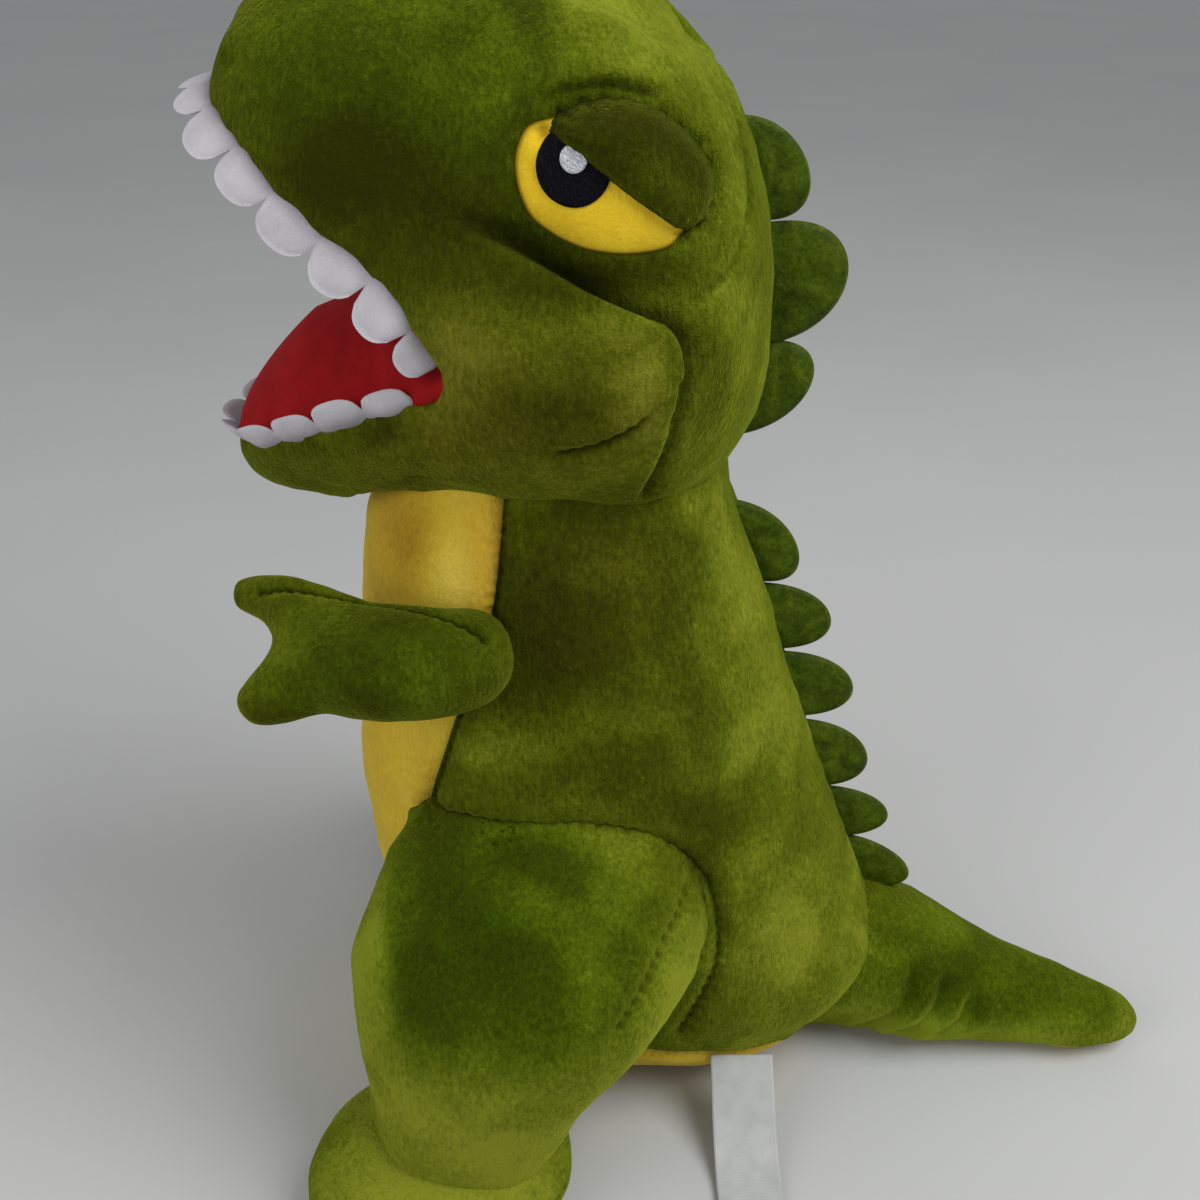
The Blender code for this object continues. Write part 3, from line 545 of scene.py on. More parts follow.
def paint(obj, **values):
    """Give every vertex the values that a material reads."""
    for name, numbers in values.items():
        layer = obj.data.attributes.new(name, "FLOAT", "POINT")
        layer.data.foreach_set("value", np.asarray(numbers, np.float32))


def skin(name, points, faces, **values):
    """A smooth closed piece whose vertices carry values for its material."""
    made = new_object(name, points, faces)
    tidy_normals(made)
    paint(made, **values)
    made.data.shade_smooth()
    return made


def swell(obj, pins, cap):
    """Stuff a knitted form while pins hold it, and make it dense enough to sculpt."""
    stuff(obj, np.asarray(pins, float), cap)
    subdivision = obj.modifiers.new("subdivision", "SUBSURF")
    subdivision.levels = LEVELS
    apply_modifiers(obj)
    return Sculpt(obj)


def near_seams(points, paths):
    """How firmly seams hold each point: one on a seam, nothing further off."""
    pins = np.zeros(len(points))
    for path in paths:
        distance = nearest(points, path, 3.0 * PIN_REACH)[0]
        pins = np.maximum(pins, np.exp(-(distance / PIN_REACH) ** 2))
    return pins


class Sculpt:
    """A dense cover whose vertices are moved in numpy and written back by done()."""

    def __init__(self, obj):
        self.obj = obj
        self.co = coordinates(obj.data)
        # how dark each point is painted: seam thread, and painted shade in seams, folds and
        # creases
        self.seam = np.zeros(len(self.co))
        # how much lighter each point is: brushed pile, and light and shade painted on
        self.nap = np.zeros(len(self.co))
        self.tone = np.zeros(len(self.co))
        self.tree = tree_of(obj)
        self.read_normals()

    def read_normals(self):
        out = np.empty(len(self.co) * 3)
        self.obj.data.vertex_normals.foreach_get("vector", out)
        self.normal = out.reshape(-1, 3)

    def update(self):
        set_coordinates(self.obj.data, self.co)
        self.read_normals()
        self.tree = tree_of(self.obj)

    def patch(self, side, x, y, z, radius, amount, wide=1.0, deep=1.0, high=1.0):
        """The amount at a place given in centimetres, fading out about a radius away."""
        squeeze = np.array((wide, deep, high))
        gap = (self.co - np.array((side * x, y, z)) * CM) / (squeeze * radius * CM)
        return amount * np.exp(-(gap ** 2).sum(axis=1))

    def push(self, rows, sides=(1,)):
        """Soft bumps, or hollows where the amount is below zero."""
        for side in sides:
            for row in rows:
                self.co += self.normal * self.patch(side, *row)[:, None]

    def brush(self, rows, sides=(1,)):
        """Brushed pile and painted light and shade: lighter, darker where the amount is below
        zero.
        """
        for side in sides:
            for row in rows:
                self.nap += self.patch(side, *row)

    def tint(self, rows, sides=(1,)):
        """Pile that looks greener, or browner where the amount is below zero."""
        for side in sides:
            for row in rows:
                self.tone += self.patch(side, *row)

    def sew(self, path, depth, width=0.0022, pucker=0.25, pitch=0.0042, ridge=0.25, colour=0.8):
        """Pull the cover in along a seam, with little puckers where the stitches are."""
        d, s, _ = nearest(self.co, path, width * 6.0)
        tight = 1.0 + pucker * np.cos(2.0 * np.pi * s / pitch)
        dip = np.exp(-(d / width) ** 2) * tight
        lip = np.exp(-((d - 2.6 * width) / (1.5 * width)) ** 2)
        self.co += self.normal * (depth * (ridge * lip - dip))[:, None]
        # a dark line along the seam: its thread, with painted shade in the groove
        seam_and_shade_line = colour * np.exp(-(d / SEAM_AND_SHADE_WIDTH) ** 2)
        self.seam = np.maximum(self.seam, seam_and_shade_line)

    def fold(self, path, side, out, sink, reach, overlap=0.0015, crease=0.0009, colour=0.8):
        """A deep fold: the cover below the path rolls over the crease, above it sinks in, and
        painted shade darkens the sunken side.
        """
        spots = np.array(path)
        along = np.gradient(spots, axis=0)
        along /= np.linalg.norm(along, axis=1)[:, None]
        distance, s, which = nearest(self.co, path, reach * 3.0)
        across = np.cross(self.normal, along[which]) * side
        rise = ((self.co - spots[which]) * across).sum(axis=1)
        share = np.clip(s / max(s.max(), 1e-6), 0.02, 0.98)
        fade = np.exp(-(distance / reach) ** 2) * np.sin(np.pi * share) ** 0.5 * (which >= 0)
        above = 0.5 * (1.0 + np.tanh(rise / crease))
        self.co += self.normal * ((out * (1.0 - above) - sink * above) * fade)[:, None]
        self.co += across * (overlap * (1.0 - above) * fade)[:, None]
        width = np.where(rise > 0.0, reach * 0.65, 0.0008)
        # painted shade: a dark band over the sunken side of the crease, a thin one below it
        dark = np.exp(-np.abs(rise / width) ** 2.6) * (fade > 0.05) * np.sin(np.pi * share) ** 0.5
        self.seam = np.maximum(self.seam, colour * dark)

    def set_into(self, tree, reach):
        """Let the cover rise gently from the one it is sewn to, with a stitched line there,
        darkened partly by painted shade where the covers meet.
        """
        for i, spot in enumerate(self.co):
            place, normal, _, gap = tree.find_nearest(Vector(spot), reach)
            if place is None:
                continue
            height = (Vector(spot) - place).dot(normal)
            if height > 0.0:
                lowered = height * (height / reach) ** 0.5
                self.co[i] -= np.array(normal) * (height - lowered)
            # stitches, with painted shade where the two covers meet
            stitch_and_shade = 0.65 + 0.35 * noise.noise(Vector(spot) * 330.0)
            self.seam[i] = max(self.seam[i], stitch_and_shade * math.exp(-(gap / 0.0013) ** 2))

    def lay(self, outline, amount, edge):
        """Pile laid the other way, so lighter or darker, inside a side-view outline."""
        within = inside_distance(self.co, outline, 120)
        self.nap += amount * 0.5 * (1.0 + np.tanh(within / edge))

    def dots(self, path, every, depth, radius):
        """A row of small stitch holes."""
        run = 0.0
        for a, b in zip(path[:-1], path[1:]):
            run += (b - a).length
            if run >= every:
                run = 0.0
                gap = np.linalg.norm(self.co - np.array(b), axis=1) / radius
                self.co -= self.normal * (depth * np.exp(-gap ** 2))[:, None]
                self.seam = np.maximum(self.seam, np.exp(-(gap * 1.1) ** 2))

    def lumps(self, *waves):
        """Uneven stuffing and rumpled pile: size and height of each wave, and its seed."""
        for size, height, seed in waves:
            shift = Vector((seed * 1.7, seed * 0.9, seed * 2.3))
            wave = np.array([noise.noise(Vector(p) / size + shift) for p in self.co])
            self.co += self.normal * (wave * height)[:, None]

    def line(self, outline, side, count):
        """A side-view line laid on this cover."""
        return side_path(outline, self.tree, side, count)

    def onto(self, places):
        """The nearest places on this cover."""
        return [self.tree.find_nearest(place)[0] for place in places]

    def lie_on_floor(self):
        self.co[:, 2] = np.maximum(self.co[:, 2], FLOOR_CLEARANCE)

    def done(self):
        self.lie_on_floor()
        set_coordinates(self.obj.data, self.co)
        paint(self.obj, seam=self.seam, nap=self.nap, tone=self.tone)
        self.obj.data.shade_smooth()


def mirrored(obj, stem):
    """The right piece that mirrors a left one; both get their names from the stem."""
    obj.name = stem + "_left"
    made = obj.copy()
    made.data = obj.data.copy()
    made.name = stem + "_right"
    points = coordinates(made.data)
    points[:, 0] *= -1.0
    set_coordinates(made.data, points)
    made.data.flip_normals()
    bpy.context.scene.collection.objects.link(made)
    return made


def inside_distance(points, outline, count=400):
    """Signed distance in the side view to a closed outline, above zero inside it."""
    corners = spline(outline, count) * CM
    y, z = points[:, 1], points[:, 2]
    best = np.full(len(points), 1e9)
    inside = np.zeros(len(points), bool)
    for a, b in zip(corners, np.roll(corners, -1, axis=0)):
        edge = b - a
        size = max(edge @ edge, 1e-16)
        t = np.clip(((y - a[0]) * edge[0] + (z - a[1]) * edge[1]) / size, 0.0, 1.0)
        gap = (y - a[0] - t * edge[0]) ** 2 + (z - a[1] - t * edge[1]) ** 2
        best = np.minimum(best, gap)
        crosses = (a[1] > z) != (b[1] > z)
        where = a[0] + (z - a[1]) * edge[0] / (edge[1] if abs(edge[1]) > 1e-12 else 1e-12)
        inside ^= crosses & (y < where)
    return np.where(inside, 1.0, -1.0) * np.sqrt(best)


def divide(obj, outline, inner_name, outer_name, level=None):
    """Cut a cover into two panels along a side-view outline or at a level."""
    points = coordinates(obj.data)
    value = level - points[:, 2] if outline is None else inside_distance(points, outline)
    bm = bmesh.new()
    bm.from_mesh(obj.data)
    bm.verts.ensure_lookup_table()
    start = [v.co.copy() for v in bm.verts]
    for edge in bm.edges:
        i, j = edge.verts[0].index, edge.verts[1].index
        if value[i] * value[j] < 0.0:
            near, far = (i, j) if abs(value[i]) < abs(value[j]) else (j, i)
            share = value[near] / (value[near] - value[far])
            bm.verts[near].co = start[near].lerp(start[far], share)
            value[near] = 0.0
    for face in list(bm.faces):
        signs = [value[v.index] for v in face.verts]
        if min(signs) < 0.0 < max(signs):
            zeros = [v for v in face.verts if value[v.index] == 0.0]
            if len(zeros) == 2:
                bmesh.utils.face_split(face, zeros[0], zeros[1])
    made = []
    for name, inner in ((inner_name, True), (outer_name, False)):
        part = bm.copy()
        part.verts.ensure_lookup_table()
        gone = [f for f in part.faces
                if (sum(np.sign(value[v.index]) for v in f.verts) > 0.0) != inner]
        bmesh.ops.delete(part, geom=gone, context="FACES")
        made.append(from_bmesh(name, part))
    bm.free()
    bpy.data.objects.remove(obj, do_unlink=True)
    return made


# ---- materials ----

GREENER = (0.74, 1.0, 0.6)           # what a tint multiplies the pile's colour by
# browner: also the colour of the painted shade on the cheek, jaw and upper torso
BROWNER = (1.0, 0.74, 1.2)
# what the pile's colour is multiplied by along seams, folds and creases: thread colour and painted
# shade
SEAM_AND_SHADE_DARK = (0.05, 0.045, 0.03)


class Cloth:
    """A material: its shader and the nodes that feed it."""

    def __init__(self, name, roughness, sheen, sheen_tint, sheen_roughness, specular):
        self.material = bpy.data.materials.new(name)
        self.material.use_nodes = True
        self.tree = self.material.node_tree
        self.shader = self.tree.nodes["Principled BSDF"]
        for socket, value in (("Roughness", roughness), ("Sheen Weight", sheen),
                              ("Sheen Tint", (*sheen_tint, 1.0)),
                              ("Sheen Roughness", sheen_roughness),
                              ("Specular IOR Level", specular)):
            self.feed(self.shader, socket, value)
        self.place = self.node("ShaderNodeTexCoord").outputs["Object"]

    def feed(self, made, socket, value):
        """Set a node's input to a value, or link it to another node's output."""
        if isinstance(value, bpy.types.NodeSocket):
            self.tree.links.new(value, made.inputs[socket])
        else:
            made.inputs[socket].default_value = value

    def node(self, kind, values=None, **settings):
        made = self.tree.nodes.new(kind)
        for key, value in settings.items():
            setattr(made, key, value)
        for socket, value in (values or {}).items():
            self.feed(made, socket, value)
        return made

    def noise(self, scale, detail, distortion=0.0, place=None):
        values = {"Scale": scale, "Detail": detail, "Distortion": distortion,
                  "Vector": place or self.place}
        return self.node("ShaderNodeTexNoise", values).outputs["Fac"]

    def maths(self, operation, first, second):
        return self.node("ShaderNodeMath", {0: first, 1: second}, operation=operation).outputs[0]

    def mixed(self, first, share, second, other_share):
        """So much of one pattern and so much of another."""
        return self.maths("ADD", self.maths("MULTIPLY", first, share),
                          self.maths("MULTIPLY", second, other_share))

    def uneven(self, source, amount):
        """A pattern swinging round zero by the amount."""
        return self.maths("MULTIPLY", self.maths("SUBTRACT", source, 0.5), amount)

    def ramp(self, factor, *stops):
        made = self.node("ShaderNodeValToRGB", {"Fac": factor})
        while len(made.color_ramp.elements) < len(stops):
            made.color_ramp.elements.new(0.5)
        for element, (position, colour) in zip(made.color_ramp.elements, stops):
            element.position = position
            element.color = (*colour, 1.0)
        return made.outputs["Color"]

    def attribute(self, name):
        return self.node("ShaderNodeAttribute", attribute_name=name).outputs["Fac"]

    def multiply(self, colour, factor, dark):
        """Colour darkened towards a share of itself where factor is one."""
        values = {"B": (*dark, 1.0), "Factor": factor, "A": colour}
        mix = self.node("ShaderNodeMix", values, data_type="RGBA", blend_type="MULTIPLY")
        return mix.outputs["Result"]

    def bump(self, *heights):
        """Bumps laid on each other: (height, strength, distance)."""
        below = None
        for height, strength, distance in heights:
            made = self.node("ShaderNodeBump", {"Strength": strength, "Distance": distance,
                                                "Height": height})
            if below:
                self.feed(made, "Normal", below)
            below = made.outputs["Normal"]
        self.feed(self.shader, "Normal", below)

    def coloured(self, colour):
        self.feed(self.shader, "Base Color", colour)
        return self.material


def plush(name, stops, tint, patches=1.0, pile=1.0):
    """Short-pile plush: brushed patches, fine tufts and a velvety rim."""
    cloth = Cloth(name, 0.95, 0.60, tint, 0.36, 0.03)
    broad = cloth.noise(21.0, 1.5, 0.6)
    middle = cloth.noise(85.0, 3.0, 0.6)
    fine = cloth.noise(460.0, 3.0, 0.3)
    tuft = cloth.noise(1500.0, 2.0)
    stretch = cloth.node("ShaderNodeMapping", {"Scale": (900.0, 900.0, 260.0),
                                               "Vector": cloth.place})
    strand = cloth.noise(1.0, 2.0, place=stretch.outputs["Vector"])
    edge = cloth.node("ShaderNodeMapRange", {"From Min": 0.40, "From Max": 0.62, "Value": broad},
                      interpolation_type="SMOOTHSTEP")
    value = cloth.uneven(edge.outputs["Result"], 0.27 * patches)
    for source, amount in ((middle, 0.32 * patches), (fine, 0.40 * pile), (tuft, 0.34 * pile),
                           (strand, 0.42 * pile)):
        value = cloth.maths("ADD", value, cloth.uneven(source, amount))
    # brushed pile, with light and shade painted on, read from the vertices
    value = cloth.maths("ADD", value, cloth.attribute("nap"))
    value = cloth.maths("ADD", value, 0.5)
    colour = cloth.ramp(value, *stops)
    tone = cloth.attribute("tone")
    colour = cloth.multiply(colour, tone, GREENER)
    colour = cloth.multiply(colour, cloth.maths("MULTIPLY", tone, -1.0), BROWNER)
    # seams, folds and creases darkened with thread colour and painted shade; the sheen is turned
    # down there as well
    seam = cloth.attribute("seam")
    colour = cloth.multiply(colour, seam, SEAM_AND_SHADE_DARK)
    velvet = cloth.maths("MULTIPLY", cloth.maths("SUBTRACT", 1.05, seam), 0.58)
    cloth.feed(cloth.shader, "Sheen Weight", velvet)
    cloth.bump((middle, 0.25 * pile, 0.0012), (fine, 0.50 * pile, 0.0009),
               (strand, 0.70 * pile, 0.0007), (tuft, 0.90 * pile, 0.0005))
    return cloth.coloured(colour)


def felt(name, light, dark, tint):
    """Pressed felt: cloudy colour and short crossed fibres."""
    cloth = Cloth(name, 0.9, 0.25, tint, 0.5, 0.15)
    cloud = cloth.noise(130.0, 4.0, 0.3)
    fine = cloth.noise(1400.0, 4.0, 1.2)
    colour = cloth.ramp(cloth.mixed(cloud, 0.6, fine, 0.4), (0.3, dark), (0.7, light))
    # painted shade: greyer felt where the teeth meet the lip
    colour = cloth.multiply(colour, cloth.attribute("seam"), (0.45, 0.42, 0.46))
    cloth.bump((cloud, 0.25, 0.0008), (fine, 0.5, 0.0003))
    return cloth.coloured(colour)


def thread(name, light, dark, sheen):
    """Satin-stitched embroidery: close threads lying side by side."""
    cloth = Cloth(name, 0.7, sheen, light, 0.4, 0.08)
    wave = cloth.node("ShaderNodeTexWave", {"Scale": 480.0, "Distortion": 14.0, "Detail": 3.0,
                                            "Detail Scale": 1.4, "Vector": cloth.place},
                      wave_type="BANDS", bands_direction="DIAGONAL").outputs["Fac"]
    fine = cloth.noise(1700.0, 3.0, 1.0)
    colour = cloth.ramp(cloth.mixed(wave, 0.55, fine, 0.45), (0.25, dark), (0.75, light))
    cloth.bump((wave, 0.5, 0.0004), (fine, 0.4, 0.0002))
    return cloth.coloured(colour)


def spike_cloth(name):
    """Thin shiny plush with a crushed nap."""
    cloth = Cloth(name, 0.55, 0.25, (0.20, 0.26, 0.01), 0.35, 0.08)
    broad = cloth.noise(90.0, 4.0, 1.2)
    fine = cloth.noise(700.0, 3.0, 0.5)
    weave = cloth.noise(1900.0, 2.0)
    colour = cloth.ramp(cloth.mixed(broad, 0.55, fine, 0.45), (0.30, (0.022, 0.036, 0.0005)),
                        (0.50, (0.050, 0.082, 0.0012)), (0.72, (0.100, 0.145, 0.0040)))
    colour = cloth.multiply(colour, cloth.attribute("seam"), (0.25, 0.25, 0.2))
    cloth.bump((broad, 0.5, 0.0012), (fine, 0.4, 0.0006), (weave, 0.4, 0.0002))
    return cloth.coloured(colour)


def satin(name):
    """Woven satin ribbon with a fine cross weave."""
    cloth = Cloth(name, 0.42, 0.15, (0.9, 0.9, 0.9), 0.3, 0.4)
    warp, weft = [cloth.node("ShaderNodeTexWave", {"Scale": scale, "Vector": cloth.place},
                             bands_direction=across).outputs["Fac"]
                  for scale, across in ((900.0, "Y"), (620.0, "X"))]
    cloud = cloth.noise(160.0, 3.0)
    weave = cloth.maths("MULTIPLY", warp, weft)
    colour = cloth.ramp(cloth.mixed(cloud, 0.7, weave, 0.3), (0.2, (0.38, 0.385, 0.38)),
                        (0.7, (0.50, 0.50, 0.485)))
    cloth.bump((weave, 0.35, 0.0002), (cloud, 0.2, 0.0006))
    return cloth.coloured(colour)


def floor_paint(name):
    cloth = Cloth(name, 0.7, 0.0, (1.0, 1.0, 1.0), 0.5, 0.2)
    cloud = cloth.noise(3.0, 3.0)
    return cloth.coloured(cloth.ramp(cloud, (0.3, (0.50, 0.50, 0.495)), (0.7, (0.53, 0.53, 0.52))))


GREEN = plush("green_plush_pile", ((0.02, (0.028, 0.030, 0.0014)), (0.30, (0.048, 0.062, 0.0018)),
                                   (0.55, (0.092, 0.118, 0.0040)), (0.92, (0.215, 0.240, 0.018))),
              (0.36, 0.40, 0.035))
YELLOW = plush("yellow_plush_pile", ((0.10, (0.36, 0.20, 0.014)), (0.50, (0.60, 0.41, 0.035)),
                                     (0.90, (0.80, 0.62, 0.085))), (0.75, 0.6, 0.2), 0.4, 0.6)
EYE_YELLOW = plush("eye_yellow_plush", ((0.10, (0.60, 0.34, 0.012)), (0.50, (0.78, 0.52, 0.025)),
                                        (0.90, (0.92, 0.74, 0.060))), (0.8, 0.7, 0.2), 0.35, 0.5)
RED = felt("red_felt_cloth", (0.34, 0.006, 0.007), (0.22, 0.003, 0.004), (0.4, 0.01, 0.01))
WHITE = felt("white_felt_cloth", (0.56, 0.54, 0.57), (0.42, 0.40, 0.43), (0.8, 0.8, 0.85))
BLACK_THREAD = thread("black_embroidery", (0.006, 0.006, 0.010), (0.001, 0.001, 0.002), 0.0)
WHITE_THREAD = thread("white_embroidery", (0.80, 0.80, 0.83), (0.42, 0.42, 0.46), 0.1)
SPIKE = spike_cloth("spike_cloth")
SATIN = satin("label_satin_weave")


def dress(obj, material, slot, body, *stands_for):
    """Give a finished piece its material, hide the CAD nodes it stands for and attach it to its
    body; slot is not used.
    """
    obj.data.materials.clear()
    obj.data.materials.append(material)
    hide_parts(*stands_for)
    if body:
        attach(obj, body)


def dress_green(obj, body, nodes):
    """A stuffed green cover."""
    dress(obj, GREEN, "green_plush", body, *nodes)


def dress_yellow(obj, body, node_name):
    dress(obj, YELLOW, "yellow_plush", body, node_name)


def dress_limbs(left, right, body, nodes):
    """Dress a left and a right piece; {} in a name stands for the side."""
    for made, side in ((left, "left"), (right, "right")):
        dress_green(made, body.format(side), [name.format(side) for name in nodes])


# ---- torso ----

def build_torso():
    form = rest_on_floor(loft("torso", TORSO, False, 2.15))
    points = knit(form, voxel=0.0046)
    tree = tree_of(form)
    pins = near_seams(points, [side_path(BELLY[1:13], tree, side, 300) for side in SIDES])
    shape = swell(form, np.maximum(pins, points[:, 2] < 0.004), cap=0.0022)
    shape.push(TORSO_BUMPS, SIDES)
    shape.lumps((0.030, 0.0016, 3), (0.012, 0.0006, 5), (0.0040, 0.00016, 6))
    shape.update()
    for side in SIDES:
        shape.sew(shape.line(BELLY[1:13], side, 300), 0.0026, 0.0024)
        # the belly rolls over the hip seam, with painted shade in the crease under it
        shape.fold(shape.line(BELLY_ROLL, side, 120), side, 0.0024, 0.0, 0.0070, 0.0020)
        shape.sew(shape.line(HIP_SEAM, side, 200), 0.0018, 0.0026, 0.35, 0.0048)
    back = [Vector((0.0, y * CM, z * CM)) for y, z in spline(TORSO_BACK, 160)]
    shape.sew(shape.onto(back), 0.0016, 0.0020)
    shape.brush(TORSO_NAP_LIGHT_AND_SHADE, SIDES)
    shape.tint(TORSO_TINTED, SIDES)
    shape.done()
    whole = tree_of(form)
    belly, back_cover = divide(form, BELLY, "plush_belly_panel", "plush_torso_back")
    dress_green(back_cover, "torso", ("torso_back_cover", "torso_filling"))
    dress_yellow(belly, "torso", "belly_panel")
    return whole


# ---- head ----

def mouth_cutter():
    """The mouth's outline run through the whole head, to be cut away from it."""
    outline = spline(MOUTH, 80) * CM
    count = len(outline)
    points = [(x, y, z) for x in (-0.15, 0.15) for y, z in outline]
    faces = [tuple(range(count)), tuple(range(2 * count - 1, count - 1, -1))]
    faces += [(i, (i + 1) % count, count + (i + 1) % count, count + i) for i in range(count)]
    made = new_object("mouth_cutter", points, faces)
    tidy_normals(made)
    return made


def head_seams(tree, side):
    """The cheek's rear seam, the nape's seam and the cheek's dart."""
    return [side_path(CHEEK_SEAM, tree, side, 120), side_path(NAPE_SEAM, tree, side, 160),
            side_path(CHEEK_DART, tree, side, 60)]


def head_form():
    """The head's loft, hollowed for the neck and cut open along the mouth."""
    form = loft("head", HEAD, True, HEAD_POWER)
    points = coordinates(form.data) / CM
    reach = np.hypot(points[:, 0] - NECK_CENTRE[0], points[:, 1] - NECK_CENTRE[1])
    share = np.clip((NECK_RECESS_RADIUS + 0.2 - reach) / 0.5, 0.0, 1.0)
    lifted = np.maximum(points[:, 2], NECK_Z + 0.05)
    points[:, 2] += (lifted - points[:, 2]) * share
    set_coordinates(form.data, points * CM)
    cutter = mouth_cutter()
    hole = form.modifiers.new("mouth", "BOOLEAN")
    hole.operation = "DIFFERENCE"
    hole.solver = "EXACT"
    hole.object = cutter
    apply_modifiers(form)
    bpy.data.objects.remove(cutter, do_unlink=True)
    return form


def sew_face(shape, side):
    """One side's fold, seams, dart, creases and nostril."""
    fold = shape.line(UNDER_EYE_FOLD, side, 260)
    # the fold under the eye, its crease filled with painted shade
    shape.fold(fold, side, 0.0042, 0.0052, 0.0085, 0.0010, 0.0011, 1.0)
    cheek, nape, dart = head_seams(shape.tree, side)
    shape.sew(cheek, 0.0020, 0.0018, 0.2, colour=0.5)
    shape.sew(shape.line(BROW_CREASE, side, 80), 0.0009, 0.0034, 0.0, 0.01, 0.3, 0.15)
    shape.sew(nape, 0.0010, 0.0016, 0.3, colour=0.35)
    shape.sew(dart, 0.0016, 0.0018)
    shape.sew(shape.line(EYELID_ROUND, side, 120), 0.0022, 0.0022, 0.45, 0.0055, 0.3, 0.45)
    shape.sew(shape.line(BROW_SEAM, side, 50), 0.0008, 0.0020, 0.1, 0.004, 0.3, 0.12)
    shape.sew(shape.line(LID_CREASE, side, 60), 0.0016, 0.0018, 0.2, 0.005, 0.3, 0.6)
    for x, y, z, radius in NOSTRILS:
        spot = shape.onto([Vector((side * x, y, z)) * CM])[0] / CM
        shape.push([(*spot, radius, -0.0022)])


def build_head():
    form = head_form()
    points = knit(form, voxel=0.0040, rounds=3)
    tree = tree_of(form)
    pins = near_seams(points, [path for side in SIDES for path in head_seams(tree, side)])
    shape = swell(form, np.maximum(pins, inside_distance(points, MOUTH) > -0.004), cap=0.0016)
    shape.push(HEAD_BUMPS, SIDES)
    shape.lumps((0.028, 0.0013, 11), (0.011, 0.0006, 13), (0.0040, 0.00016, 14))
    shape.update()
    for side in SIDES:
        sew_face(shape, side)
    shape.sew(shape.onto([Vector((0.0, y, z)) * CM for y, z in spline(HEAD_MIDDLE, 140)]),
              0.0016, 0.002)
    shape.brush(HEAD_NAP_AND_SHADE, SIDES)
    shape.tint(HEAD_TINTED, SIDES)
    shape.lay(FOREHEAD, 0.20, 0.0016)
    shape.lay(SNOUT_DARK, -0.12, 0.0026)
    shape.done()
    whole = tree_of(form)
    back, face = divide(form, HEAD_BACK, "plush_head_back", "plush_face")
    dress_green(face, "head", ("face_cover", "head_filling"))
    dress_green(back, "head", ("head_back_cover",))
    return whole


# ---- mouth ----

def build_lining():
    """Red felt over the palate, round the corners and over a stuffed cushion on the jaw."""
    run = spline(LINING_RUN, 90)
    across = np.linspace(-1.0, 1.0, 61)
    last = len(run) - 1
    points = []
    for i, (y, z) in enumerate(run):
        step = heading(run, i)
        inward = np.array([-step[1], step[0]])
        past = i / last - LINING_CORNER
        low = np.clip(past / 0.16, 0.0, 1.0)
        end = np.clip((last - i) / 16.0, 0.0, 1.0)
        cushion = CUSHION_HEIGHT * low * low * (3.0 - 2.0 * low) * end ** 0.6
        height = 0.15 + cushion
        width = half_width(HEAD, y + 0.15, z + (0.25 if i < len(run) // 2 else -0.25), HEAD_POWER)
        corner = math.exp(-(past / (0.09 if past < 0.0 else 0.14)) ** 2)
        width = max(width - LINING_INSET * (1.0 - corner), 0.9)
        for t in across:
            lift = height * (1.0 - abs(t) ** (8.0 - 5.8 * low)) ** 0.75 - 0.05
            points.append((width * t, y - inward[0] * lift, z - inward[1] * lift))
    lining = new_object("felt_mouth_lining", np.array(points) * CM,
                        grid_faces(len(run), len(across), False))
    thicken(lining, 0.0010, 0.0)
    dress(lining, RED, "red_felt", "head", "mouth_lining")


